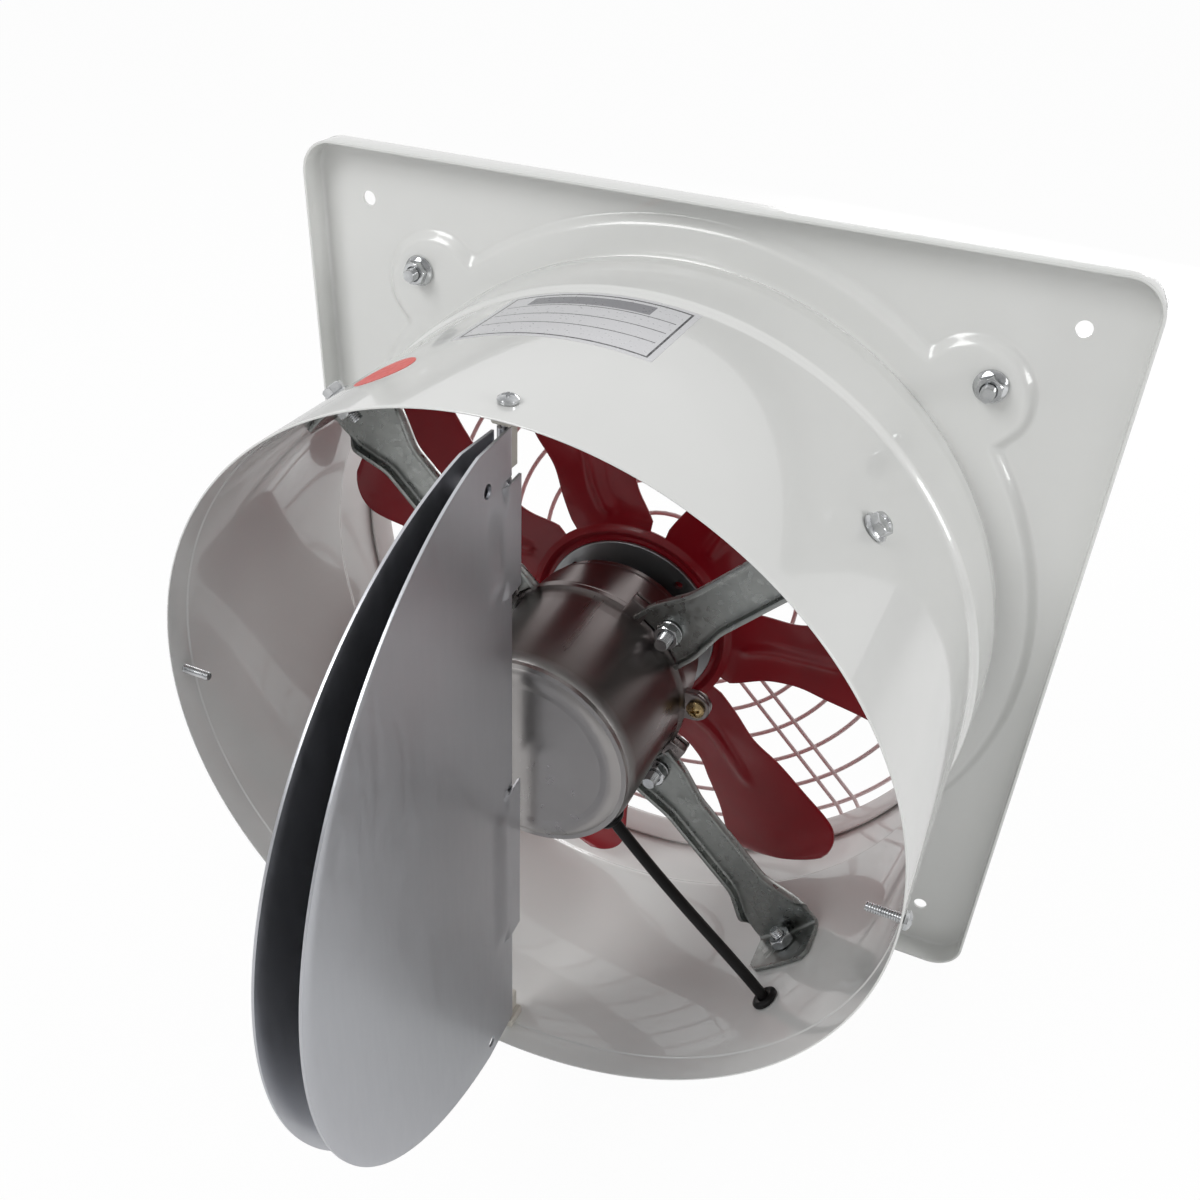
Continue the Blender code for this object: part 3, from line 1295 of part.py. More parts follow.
def make_shaft_nut():
    top = HUB_REACH - HUB_SHEET - SEAT_GAP

    def nut(bm):
        bore = SHAFT_RADIUS + SEAT_GAP
        loops = [
            circle(bore, 0, HEX_SECTION_POINTS),
            hexagon(SHAFT_NUT_FLATS, 0),
            hexagon(SHAFT_NUT_FLATS, SHAFT_NUT_HEIGHT),
            circle(bore, SHAFT_NUT_HEIGHT, HEX_SECTION_POINTS),
        ]
        joined_loops(bm, loops, closed_ring=True)

    mesh = mesh_from("shaft_nut", nut)
    put("shaft_nut", mesh, zinc_plate(), location=(0, 0, top - SHAFT_NUT_HEIGHT), parent=ROTOR)


def leaf_spans():
    """Low and high ends of the five stretches of the leaves' straight edges, from the top down."""
    joins = [share * LEAF_RADIUS for share in SPAN_SHARES]
    end = LEAF_HALF_HEIGHT - CURL_CORNER_TRIM
    highs = [end] + [join - CURL_END_GAP for join in joins]
    lows = [join + CURL_END_GAP for join in joins] + [-end]
    return list(zip(lows, highs))


def leaf_outline(curls, tabs):
    """Part of a disc, as (t, y) points with t out from the rod. Its straight edge has steps at curls and tabs."""
    points = []
    start = math.asin(LEAF_HALF_HEIGHT / LEAF_RADIUS)
    for k in range(LEAF_ARC_STEPS + 1):
        a = -start + 2 * start * k / LEAF_ARC_STEPS
        points.append((LEAF_RADIUS * math.cos(a) - LEAF_CENTRE_OFFSET, LEAF_RADIUS * math.sin(a)))
    points.append((LEAF_EDGE_SETBACK, LEAF_HALF_HEIGHT))
    steps = [(low, high, 0) for low, high in curls] + [(low, high, TAB_STEP_START) for low, high in tabs]
    for low, high, edge in sorted(steps, reverse=True):
        points += [(LEAF_EDGE_SETBACK, high), (edge, high), (edge, low), (LEAF_EDGE_SETBACK, low)]
    points.append((LEAF_EDGE_SETBACK, -LEAF_HALF_HEIGHT))
    return points


def tab_section():
    """Section of a tab as (offset, t): it starts in the sheet, steps outwards and runs on past the rod."""
    inner = TAB_FACE
    outer = TAB_FACE + LEAF_SHEET
    weld = TAB_STEP_START + LEAF_SHEET
    return [
        (KNUCKLE_BORE + TAB_WELD_SINK, weld),
        (inner, TAB_STEP_END),
        (inner, -LEAF_TAB_OVERLAP),
        (outer, -LEAF_TAB_OVERLAP),
        (outer, TAB_STEP_END),
        (KNUCKLE_RADIUS - TAB_WELD_SINK, weld),
    ]


def make_leaf(name, side, rest, curls, tabs):
    """A leaf of sheet, curled round the rod in places, with tabs that lie over the other leaf's curls.

    side is +1 for the right leaf and -1 for the left one.
    """
    pivot = bpy.data.objects.new(name + "_hinge", None)
    pivot.parent = AXIS
    pivot.location = (HINGE_OFFSET, 0, HINGE_REACH)
    pivot.rotation_euler = (0, math.radians(rest), 0)
    HELPERS.objects.link(pivot)
    mesh = flat_mesh(name, [leaf_outline(curls, tabs)], LEAF_SHEET)
    face = KNUCKLE_BORE if side > 0 else -KNUCKLE_RADIUS
    stand_up = Matrix(((0, 0, 1, face), (0, 1, 0, 0), (1, 0, 0, 0), (0, 0, 0, 1)))
    bm = bmesh.new()
    bm.from_mesh(mesh)
    bmesh.ops.transform(bm, matrix=stand_up, verts=bm.verts)
    bmesh.ops.recalc_face_normals(bm, faces=bm.faces)
    bm.to_mesh(mesh)
    bm.free()
    leaf = put(name, mesh, satin_aluminium(), parent=pivot)

    def stepped_tabs(bm):
        for low, high in tabs:
            loops = [[(side * x, y, z) for x, z in tab_section()] for y in (low, high)]
            joined_loops(bm, loops)
        bmesh.ops.recalc_face_normals(bm, faces=bm.faces)

    def rolls(bm):
        for low, high in curls:
            add_cylinder(bm, KNUCKLE_RADIUS, (0, low, 0), (0, high, 0), HEX_SECTION_POINTS)

    def bores(bm):
        for low, high in curls:
            ends = ((0, low - CURL_END_GAP / 2, 0), (0, high + CURL_END_GAP / 2, 0))
            add_hole(bm, KNUCKLE_BORE, *ends, HEX_SECTION_POINTS)

    def holes(bm):
        for share in LEAF_HOLE_SHARES:
            y = share * LEAF_RADIUS
            ends = [(side * x, y, LEAF_HOLE_REACH) for x in (0, KNUCKLE_RADIUS + CUT_OVERRUN)]
            add_hole(bm, LEAF_HOLE_DIAMETER / 2, *ends, HOLE_SEGMENTS)

    combine(leaf, helper(name + "_tabs", stepped_tabs, pivot), "UNION")
    combine(leaf, helper(name + "_rolls", rolls, pivot), "UNION")
    combine(leaf, helper(name + "_bores", bores, pivot), "DIFFERENCE")
    combine(leaf, helper(name + "_holes", holes, pivot), "DIFFERENCE")


def make_leaves():
    """Two leaves whose curls and tabs take turns along the rod. Only the right one has curls at its ends."""
    top, upper, middle, lower, bottom = leaf_spans()
    make_leaf("flap_right", 1, RIGHT_LEAF_REST_ANGLE, [top, middle, bottom], [upper, lower])
    make_leaf("flap_left", -1, LEFT_LEAF_REST_ANGLE, [upper, lower], [middle])


def make_bracket(name, sign, length):
    """A block against the duct's wall with a rib on edge below the rod, drilled for the rod and its screw."""

    def block(bm):
        half = FOOT_WIDTH / 2
        drop = WALL_INNER - math.sqrt(WALL_INNER**2 - (half - HINGE_OFFSET) ** 2)
        ends = sorted((sign * (WALL_INNER - drop), sign * (WALL_INNER - FOOT_HEIGHT)))
        add_box(bm, (HINGE_OFFSET - half, ends[0], FOOT_LOW), (HINGE_OFFSET + half, ends[1], FOOT_HIGH))

    def rib(bm):
        half = BRACKET_SHEET / 2
        ends = sorted((sign * (WALL_INNER - length), sign * (WALL_INNER - FOOT_HEIGHT + ROD_SEAT / 2)))
        low = FOOT_LOW + BRACKET_STEP
        add_box(bm, (HINGE_OFFSET - half, ends[0], low), (HINGE_OFFSET + half, ends[1], BRACKET_HIGH))

    def bores(bm):
        ends = ((HINGE_OFFSET, sign * (WALL_INNER - FOOT_HEIGHT - CUT_OVERRUN), HINGE_REACH),
                (HINGE_OFFSET, sign * (ROD_HALF + SEAT_GAP), HINGE_REACH))
        add_hole(bm, KNUCKLE_BORE, *ends, HEX_SECTION_POINTS)
        start = sign * (WALL_INNER - HINGE_SCREW_DEPTH - SEAT_GAP)
        ends = ((HINGE_OFFSET, start, HINGE_SCREW_REACH),
                (HINGE_OFFSET, sign * (WALL_INNER + CUT_OVERRUN), HINGE_SCREW_REACH))
        add_hole(bm, HINGE_SCREW_DIAMETER / 2 + HOLE_EASE, *ends, HOLE_SEGMENTS)

    bracket = put(name, mesh_from(name, block), bar_paint())
    combine(bracket, helper(name + "_rib", rib), "UNION")
    combine(bracket, helper(name + "_bores", bores), "DIFFERENCE")


def make_hinge():
    """The rod that the leaves swing on, and the bracket at each of its ends."""
    make_bracket("hinge_bracket_top", 1, TOP_BRACKET_LENGTH)
    make_bracket("hinge_bracket_bottom", -1, BOTTOM_BRACKET_LENGTH)
    profile = [(0, ROD_HALF), (ROD_RADIUS, ROD_HALF), (ROD_RADIUS, -ROD_HALF), (0, -ROD_HALF)]
    place = {"location": (HINGE_OFFSET, 0, HINGE_REACH), "rotation": (-math.pi / 2, 0, 0)}
    turned("hinge_rod", profile, SCREW_SEGMENTS, ground_steel(), **place)


def make_wall_screws():
    """Pan-head screws through the duct wall: two into the brackets and two that stop the leaves."""
    head = (PAN_HEAD_DIAMETER / 2, PAN_HEAD_HEIGHT, PAN_HEAD_HEIGHT / 3)
    hinge_length = WALL_OUTER - WALL_INNER + HINGE_SCREW_DEPTH
    hinge_profile = head_first(hinge_length, HINGE_SCREW_DIAMETER / 2, *head)
    for name, angle in (("hinge_screw_top", 90), ("hinge_screw_bottom", -90)):
        place = radial_place(angle, WALL_OUTER, HINGE_SCREW_REACH)
        x, y, z = place["location"]
        place["location"] = (x + HINGE_OFFSET, y, z)
        turned(name, hinge_profile, SCREW_SEGMENTS, zinc_plate(), **place)
    stop_profile = head_first(
        WALL_OUTER - WALL_INNER + STOP_SCREW_INSIDE, STOP_SCREW_DIAMETER / 2, *head
    )
    for name, angle in (("stop_screw_right", 0), ("stop_screw_left", 180)):
        place = radial_place(angle, WALL_OUTER, STOP_SCREW_REACH)
        turned(name, stop_profile, SCREW_SEGMENTS, zinc_plate(), **place)


def make_bush():
    """Rubber bush in the motor's side, round the cable."""
    face = REAR_CUP_RADIUS + SEAT_GAP
    neck_end = REAR_CUP_RADIUS - CUP_SHEET - SEAT_GAP - face
    profile = [
        (BUSH_COLLAR_DIAMETER / 2 - RUBBER_WALL, BUSH_COLLAR_LENGTH),
        (BUSH_COLLAR_DIAMETER / 2, BUSH_COLLAR_LENGTH / 3),
        (BUSH_COLLAR_DIAMETER / 2, 0),
        (RUBBER_NECK, 0),
        (RUBBER_NECK, neck_end),
        (CABLE_HOLE, neck_end),
        (CABLE_HOLE, BUSH_COLLAR_LENGTH),
    ]
    place = radial_place(CABLE_EXIT_ANGLE, face, CABLE_REACH)
    turned("motor_cable_bush", profile, HEX_SECTION_POINTS, black_rubber(), closed=True, **place)


def make_grommet():
    """Rubber grommet in the duct's wall, with a head on both sides."""
    head = GROMMET_HEAD_DIAMETER / 2
    slack = head * math.tan(math.pi / DUCT_SEGMENTS)
    inner_face = DUCT_BORE - slack - SEAT_GAP - WALL_OUTER
    profile = [
        (head - RUBBER_WALL, GROMMET_HEAD_LENGTH),
        (head, GROMMET_HEAD_LENGTH / 2),
        (head, 0),
        (RUBBER_NECK, 0),
        (RUBBER_NECK, inner_face),
        (head, inner_face),
        (head, inner_face - GROMMET_HEAD_LENGTH / 2),
        (head - RUBBER_WALL, inner_face - GROMMET_HEAD_LENGTH),
        (CABLE_HOLE, inner_face - GROMMET_HEAD_LENGTH),
        (CABLE_HOLE, GROMMET_HEAD_LENGTH),
    ]
    place = radial_place(GROMMET_ANGLE, WALL_OUTER, CABLE_REACH)
    turned("duct_grommet", profile, HEX_SECTION_POINTS, black_rubber(), closed=True, **place)


def cable_points():
    """A route from inside the motor to the grommet: straight through both bushes, with a sag between."""
    past_bush = REAR_CUP_RADIUS + BUSH_COLLAR_LENGTH + CABLE_RADIUS
    before_grommet = DUCT_BORE - 2 * GROMMET_HEAD_LENGTH - CABLE_RADIUS
    start = Vector(polar(REAR_CUP_RADIUS - CABLE_INSIDE, CABLE_EXIT_ANGLE, CABLE_REACH))
    start_straight = Vector(polar(past_bush, CABLE_EXIT_ANGLE, CABLE_REACH))
    end_straight = Vector(polar(before_grommet, GROMMET_ANGLE, CABLE_REACH))
    end = Vector(polar(DUCT_RADIUS + GROMMET_HEAD_LENGTH, GROMMET_ANGLE, CABLE_REACH))
    lead_in = (start_straight - start).normalized()
    lead_out = (end - end_straight).normalized()
    span = (end_straight - start_straight).length
    points = [start]
    for k in range(CABLE_POINTS):
        s = k / (CABLE_POINTS - 1)
        curve = (
            start_straight * (2 * s**3 - 3 * s**2 + 1)
            + lead_in * span * (s**3 - 2 * s**2 + s)
            + end_straight * (3 * s**2 - 2 * s**3)
            + lead_out * span * (s**3 - s**2)
        )
        curve.y -= CABLE_SAG * 16 * s**2 * (1 - s) ** 2
        points.append(curve)
    points.append(end)
    return points


def make_cable():
    curve = bpy.data.curves.new("motor_cable", "CURVE")
    curve.dimensions = "3D"
    curve.bevel_depth = CABLE_RADIUS
    curve.bevel_resolution = CABLE_ROUND_STEPS
    curve.use_fill_caps = True
    points = cable_points()
    spline = curve.splines.new("POLY")
    spline.points.add(len(points) - 1)
    for point, place in zip(spline.points, points):
        point.co = (*place, 1)
    cable = bpy.data.objects.new("motor_cable", curve)
    cable.parent = AXIS
    curve.materials.append(black_rubber())
    PART.objects.link(cable)


clear_scene()
PART = make_collection("axial_extractor_fan")
HELPERS = make_collection("cutters")
AXIS = bpy.data.objects.new("duct_axis", None)
AXIS.rotation_euler = (math.pi / 2, 0, 0)
HELPERS.objects.link(AXIS)
ROTOR = bpy.data.objects.new("rotor_axis", None)
ROTOR.parent = AXIS
HELPERS.objects.link(ROTOR)

make_plate()
make_duct()
make_guard()
make_guard_fasteners()
make_motor_housing()
make_ear_screws()
make_stator()
make_bearings()
make_rotor()
make_arms()
make_arm_fasteners()
make_hub_disc()
make_impeller()
make_shaft_nut()
make_leaves()
make_hinge()
make_wall_screws()
make_bush()
make_grommet()
make_cable()
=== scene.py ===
"""Looks of the axial extractor fan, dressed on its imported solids.

Shapes are worked out in the fan's axial frame, as in the part's source: x is to the right and y is up, seen from
the outlet, and z runs along the duct from the wall face to the outlet. to_frame() turns it into the part's frame.
"""

import math

import bmesh
import bpy
import numpy as np
from mathutils import Matrix, Vector


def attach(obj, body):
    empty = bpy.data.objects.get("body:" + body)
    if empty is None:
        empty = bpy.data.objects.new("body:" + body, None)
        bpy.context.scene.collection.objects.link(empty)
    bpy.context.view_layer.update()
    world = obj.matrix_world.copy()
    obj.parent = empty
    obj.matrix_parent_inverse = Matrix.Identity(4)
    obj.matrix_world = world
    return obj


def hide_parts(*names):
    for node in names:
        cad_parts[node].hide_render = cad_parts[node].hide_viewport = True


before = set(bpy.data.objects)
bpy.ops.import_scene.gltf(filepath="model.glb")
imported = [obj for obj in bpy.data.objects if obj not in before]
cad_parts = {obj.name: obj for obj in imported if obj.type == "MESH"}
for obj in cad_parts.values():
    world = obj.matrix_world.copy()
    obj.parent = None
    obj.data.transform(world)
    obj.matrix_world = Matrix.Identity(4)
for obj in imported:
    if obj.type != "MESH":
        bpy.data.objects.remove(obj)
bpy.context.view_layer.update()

bl_info = {
    "name": "Axial Extractor Fan",
    "version": (1, 0, 0),
    "blender": (4, 5, 0),
    "location": "View3D > Sidebar > Extractor Fan",
    "description": "Dresses an axial extractor fan: plate, duct, guard, motor, impeller and shutter",
    "category": "Object",
}

TAU = 2 * math.pi
QUARTERS = (45, 135, 225, 315)

# Sizes of the solids that the dressed pieces follow, in metres
DUCT_RADIUS = 0.1563
DUCT_BORE = 0.1551
DUCT_REACH = 0.1740
DUCT_SHEET = 0.0012
WALL_INNER = 0.154613
WALL_OUTER = 0.1566
SHOULDER_REACH = 0.0482
FLARE_REACH = 0.01928
PLATE_HALF = 0.1850
PLATE_SHEET = 0.0012
PLATE_CORNER = 0.016
LIP_DEPTH = 0.0128
LIP_BEND = 0.0028
EMBOSS_DEPTH = 0.0035
EMBOSS_RADIUS = 0.1728
LOBE_REACH = 0.1475
LOBE_WIDTH = 0.0466
LOBE_CORNER = 0.025
LOBE_JOIN = 0.006
BELL_RADIUS = 0.0046
COLLAR_LENGTH = 0.0125
MOUNT_HOLE_PLACE = 0.1587
PLATE_HOLE_RADIUS = 0.0033
STUD_PLACE = 0.1309
RING_Z = -0.0038
RING_WIRE = 0.0023
LEG_WIRE = 0.0020
LEG_Z = -0.00215
LEG_END_Z = 0.0022
GUARD_OUTER_RING = 0.1545
GUARD_PITCH = 0.0175
GUARD_RING_RADIUS = 0.00108
GUARD_LEG_HALF = 0.0055
GUARD_LEG_BEND = 0.006
HUB_REACH = 0.0442
FRONT_CUP_Z = 0.0602
MOTOR_JOINT = 0.0932
REAR_CUP_Z = 0.1512
REAR_CUP_RADIUS = 0.0450
FRONT_CUP_RADIUS = 0.0420
JOINT_RADIUS = 0.0470
FLANGE_SHEET = 0.0020
EAR_REACH = 0.0577
EAR_CIRCLE = 0.0520
EAR_ANGLES = (3, 183)
EAR_WIDTH = 0.0130
ARM_PAD_WIDTH = 0.0175
LUG_ANGLE = 62.8
ARM_FACE = 0.0952
ARM_SHEET = 0.0020
ARM_INNER = 0.0476
ARM_EDGE = 0.0048
ARM_BOLT_CIRCLE = 0.0528
ARM_DUCT_BOLT_Z = 0.1022
TAB_RADIUS = 0.153613
BLADE_ROOT = 0.0550
BLADE_TIP = 0.1490
BLADES = 7
FIRST_BLADE = -25
BLADE_OUTLET_RISE = 0.0070
BLADE_INLET_FALL = 0.0150
BLADE_CAMBER = 0.0025
HUB_BEAD = 0.0016
HUB_BEAD_RADIUS = 0.047
HUB_BEAD_WIDTH = 0.0060
BLADE_SHEET = 0.0012
BLADE_RIB = 0.0018
BLADE_RIB_SPREAD = 0.0030
HINGE_OFFSET = -0.0015
HINGE_REACH = 0.1640
ROD_RADIUS = 0.0011
ROD_HALF = 0.1510
LEAF_SHEET = 0.0010
LEAF_RADIUS = 0.1520
LEAF_HALF = 0.1491
LEAF_CENTRE = 0.0063
LEAF_OFFSET = 0.0019
LEAF_SETBACK = 0.0040
TAB_OFFSET = 0.0032
TAB_OVERLAP = 0.0055
LEAF_START = 0.0080
LEAF_FLAT = 0.0205
LEAF_HOLE_RADIUS = 0.0026
LEAF_HOLE_REACHES = (0.0177, 0.0214)
SPAN_ENDS = (0.1476, 0.1310, 0.0860, -0.0050, -0.0900, -0.1476)
SPAN_GAP = 0.0006
CURL_TURN = 296
HINGE_SCREW_Z = 0.1612
FOOT_LOW = 0.1560
FOOT_HIGH = 0.1664
FOOT_HEIGHT = 0.0044
RIB_LOW = 0.1566
RIB_HIGH = 0.1613
STOP_SCREW_Z = 0.1672
CABLE_Z = 0.1345
CABLE_RADIUS = 0.0025
BUSH_ANGLE = -47
GROMMET_ANGLE = -45
CABLE_SAG = 0.0006
CABLE_RADII = (0.0415, 0.0529, 0.1469, 0.1587)
SEAT = 0.0003
M6_RADIUS = 0.0030
M6_FLATS = 0.0100
THREAD_PITCH = 0.0009
OVAL_ANGLES = (112.0, 121.0)
OVAL_REACHES = (0.116, 0.141)
HUB_HOLE_RADIUS = 0.0019
HUB_HOLE_CIRCLE = 0.0358
FIRST_HUB_HOLE = 50
FLOOR_HALF = 6.0

# The photograph's camera: where it stands, how it is turned, its focal length and centre in a 1200 pixel frame
CAMERA_PLACE = (0.16233, -0.46895, 0.31599)
CAMERA_TURN = (2.129, 0.480, -0.191)
FOCAL_PIXELS = 1183.87
CENTRE_PIXELS = (606.12, 615.55)
FRAME_PIXELS = 1200
SENSOR_WIDTH = 36

# Angle in degrees past which an edge is sharp, and the distances within which seams are welded
SMOOTH = 35
WELD = 2e-6
FINE_WELD = 1e-7


# Shapes


def to_frame(points):
    """Axial (x, y, z) becomes (x, -z, y) in the part's frame."""
    points = np.asarray(points, float)
    return np.stack([points[..., 0], -points[..., 2], points[..., 1]], axis=-1)


def ease(x):
    """0 below 0, 1 above 1, and 3x squared less 2x cubed between."""
    x = np.clip(x, 0, 1)
    return x * x * (3 - 2 * x)


def fair(x, xs, ys):
    """A smooth curve through points: cubic pieces whose slope at each point is that of the line past it."""
    xs, ys = np.asarray(xs, float), np.asarray(ys, float)
    slopes = np.gradient(ys, xs)
    i = np.clip(np.searchsorted(xs, x, side="right") - 1, 0, len(xs) - 2)
    width = xs[i + 1] - xs[i]
    t = np.clip((x - xs[i]) / width, 0, 1)
    near = ys[i] * (1 + 2 * t) * (1 - t) ** 2 + slopes[i] * width * t * (1 - t) ** 2
    return near + ys[i + 1] * t * t * (3 - 2 * t) + slopes[i + 1] * width * t * t * (t - 1)


def rounded(points, radii, steps=5):
    """A line whose corners are arcs of the given radii, each from radius x tan(half its turn) before the corner."""
    points = [np.asarray(p, float) for p in points]
    line = [points[0][None]]
    for before, corner, after, radius in zip(points, points[1:], points[2:], radii):
        inward, outward = before - corner, after - corner
        inward, outward = inward / np.linalg.norm(inward), outward / np.linalg.norm(outward)
        half = math.acos(np.clip(-inward @ outward, -1, 1)) / 2
        if radius <= 0 or half < 1e-4:
            line.append(corner[None])
            continue
        reach = radius * math.tan(half)
        middle = inward + outward
        centre = corner + middle / np.linalg.norm(middle) * radius / math.cos(half)
        start = corner + inward * reach - centre
        end = corner + outward * reach - centre
        t = np.linspace(0, 1, steps + 1)[:, None]
        turn = 2 * half
        line.append(centre + (np.sin((1 - t) * turn) * start + np.sin(t * turn) * end) / math.sin(turn))
    line.append(points[-1][None])
    return np.concatenate(line)


def revolved(profile, segments):
    """Grid of a profile of (radius, z) turned about the axis: (r cos a, r sin a, z) at each angle a."""
    a = np.linspace(0, TAU, segments, endpoint=False)
    r, z = np.asarray(profile, float).T
    rows = [np.outer(r, np.cos(a)), np.outer(r, np.sin(a)), np.repeat(z[:, None], segments, axis=1)]
    return np.stack(rows, axis=-1)


def around(radius_at, z, angles):
    """One loop of points at a radius that depends on the angle."""
    r = np.broadcast_to(radius_at, angles.shape)
    return np.stack([r * np.cos(angles), r * np.sin(angles), np.full(angles.shape, z)], axis=-1)


def swept(path, radius, sides, closed=False, up=(0, 0, 1)):
    """A round wire: at each point of the path a ring of the given radius, square to the path."""
    path = np.asarray(path, float)
    if closed:
        along = np.roll(path, -1, axis=0) - np.roll(path, 1, axis=0)
    else:
        along = np.gradient(path, axis=0)
    along /= np.linalg.norm(along, axis=1, keepdims=True)
    side = np.cross(along, np.asarray(up, float))
    side /= np.linalg.norm(side, axis=1, keepdims=True)
    over = np.cross(side, along)
    a = np.linspace(0, TAU, sides, endpoint=False)[None, :, None]
    radius = np.broadcast_to(radius, len(path))[:, None, None]
    return path[:, None] + radius * (np.cos(a) * side[:, None] + np.sin(a) * over[:, None])


def polar(radius, degrees):
    """The place across the axis at a radius and an angle."""
    return radius * math.cos(math.radians(degrees)), radius * math.sin(math.radians(degrees))


def turned_about_axis(points, degrees):
    """Points turned about the duct's axis."""
    c, s = polar(1, degrees)
    x, y, z = np.moveaxis(np.asarray(points, float), -1, 0)
    return np.stack([c * x - s * y, s * x + c * y, z], axis=-1)


def radially(points, angle, radius, z, shift=0.0):
    """Points made about their own z axis, stood on the duct so that it points outwards along a radius."""
    x, y, out = np.moveaxis(np.asarray(points, float), -1, 0)
    local = np.stack([radius + out, y, z - x], axis=-1)
    local = turned_about_axis(local, angle)
    local[..., 0] += shift
    return local


def moved(points, x, y, z, flip=False, turn=0.0):
    """Points turned about their own axis, perhaps upside down, and moved."""
    points = turned_about_axis(points, turn)
    if flip:
        points = points * np.array([1, -1, -1])
    return points + np.array([x, y, z])


def patch(points, wrap_rows=False, wrap_columns=False, cap_start=False, cap_end=False):
    """A grid of points with what it needs to become faces: which way it closes, and which end rows are filled."""
    return points, wrap_rows, wrap_columns, cap_start, cap_end


def surface(name, patches, weld=WELD, closed=True, smooth=SMOOTH):
    """One mesh from grids: a face for each cell, end rows filled where asked, seams welded, normals outwards."""
    places, quads, caps, base = [], [], [], 0
    for points, wrap_rows, wrap_columns, cap_start, cap_end in patches:
        rows, columns = points.shape[:2]
        index = np.arange(rows * columns).reshape(rows, columns) + base
        if cap_start:
            caps.append(index[0].tolist())
        if cap_end:
            caps.append(index[-1].tolist())
        if wrap_rows:
            index = np.vstack([index, index[:1]])
        if wrap_columns:
            index = np.hstack([index, index[:, :1]])
        cells = np.stack([index[:-1, :-1], index[:-1, 1:], index[1:, 1:], index[1:, :-1]], axis=-1)
        quads.append(cells.reshape(-1, 4))
        places.append(to_frame(points).reshape(-1, 3))
        base += rows * columns
    mesh = bpy.data.meshes.new(name)
    mesh.from_pydata(np.concatenate(places).tolist(), [], np.concatenate(quads).tolist() + caps)
    tidy_mesh(mesh, weld, closed)
    mesh.shade_smooth()
    mesh.set_sharp_from_angle(angle=math.radians(smooth))
    piece = bpy.data.objects.new(name, mesh)
    bpy.context.scene.collection.objects.link(piece)
    return piece


def tidy_mesh(mesh, weld=WELD, outwards=True):
    """Welds seams, drops empty faces and turns the faces of a closed shell outwards."""
    bm = bmesh.new()
    bm.from_mesh(mesh)
    bmesh.ops.remove_doubles(bm, verts=bm.verts, dist=weld)
    bmesh.ops.dissolve_degenerate(bm, edges=bm.edges, dist=weld / 2)
    if outwards:
        bmesh.ops.recalc_face_normals(bm, faces=bm.faces)
    bm.to_mesh(mesh)
    bm.free()


def sheet_of(piece, thickness, bevel=0.0, angle=45):
    """Gives an open middle surface its thickness, and its cut edges a small round."""
    solid = piece.modifiers.new("sheet", "SOLIDIFY")
    solid.thickness = thickness
    solid.offset = 0
    solid.use_even_offset = True
    solid.use_quality_normals = True
    if bevel:
        edge = piece.modifiers.new("edge", "BEVEL")
        edge.width = bevel
        edge.segments = 2
        edge.limit_method = "ANGLE"
        edge.angle_limit = math.radians(angle)
        edge.harden_normals = False
    return worked_in(piece)


def worked_in(piece, smooth=SMOOTH):
    """The piece with its modifiers worked into its mesh."""
    bpy.context.view_layer.update()
    graph = bpy.context.evaluated_depsgraph_get()
    mesh = bpy.data.meshes.new_from_object(piece.evaluated_get(graph))
    piece.modifiers.clear()
    piece.data = mesh
    tidy_mesh(mesh)
    mesh.shade_smooth()
    mesh.set_sharp_from_angle(angle=math.radians(smooth))
    return piece


def drilled(piece, drills):
    """Cuts holes: a drill is the grid of a closed tube, which is removed afterwards."""
    tool = surface(piece.name + "_drill", [patch(d, False, True, True, True) for d in drills])
    cut = piece.modifiers.new("holes", "BOOLEAN")
    cut.object = tool
    cut.operation = "DIFFERENCE"
    cut.solver = "EXACT"
    worked_in(piece)
    bpy.data.objects.remove(tool, do_unlink=True)
    return piece


def tube_drill(radius, low, high, sides=40):
    """A straight drill along z, from low to high."""
    return revolved([(radius, low), (radius, high)], sides)


def dress(piece, material, body, slot, *nodes):
    """Paints a piece, sets it on its body and hides the solids it stands for."""
    piece.data.materials.clear()
    piece.data.materials.append(material)
    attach(piece, body)
    if nodes:
        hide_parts(*nodes)
    return piece


def keep_solid(node, material):
    """A solid whose shape is right as it is gets its finish."""
    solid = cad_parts[node]
    solid.data.materials.clear()
    solid.data.materials.append(material)


# Finishes

SKIN_OUTPUTS = (("Colour", "NodeSocketColor"), ("Roughness", "NodeSocketFloat"), ("Height", "NodeSocketFloat"))


def new_skin(name, **inputs):
    """A skin's node group with named inputs and its two ends, or the one already made and no ends.

    An input with no value is a place, one with four values is a colour, and any other is a number.
    """
    old = bpy.data.node_groups.get(name)
    if old:
        return old, None, None
    group = bpy.data.node_groups.new(name, "ShaderNodeTree")
    for label, value in inputs.items():
        kind = "Vector" if value is None else "Color" if isinstance(value, tuple) else "Float"
        socket = group.interface.new_socket(
            label.replace("_", " "), in_out="INPUT", socket_type="NodeSocket" + kind
        )
        if value is not None:
            socket.default_value = value
    for label, kind in SKIN_OUTPUTS:
        group.interface.new_socket(label, in_out="OUTPUT", socket_type=kind)
    return group, group.nodes.new("NodeGroupInput"), group.nodes.new("NodeGroupOutput")


def end_skin(group, end, colour, gloss, height):
    """Links a skin's results to its outputs."""
    for value, (label, _) in zip((colour, gloss, height), SKIN_OUTPUTS):
        group.links.new(value, end.inputs[label])
    return group


def fill(tree, node, **values):
    """Links or sets a node's inputs, by name or, as i0, i1 and so on, by number."""
    for name, value in values.items():
        numbered = name[0] == "i" and name[1:].isdigit()
        socket = node.inputs[int(name[1:]) if numbered else name.replace("_", " ")]
        if isinstance(value, bpy.types.NodeSocket):
            tree.links.new(value, socket)
        else:
            socket.default_value = value
    return node


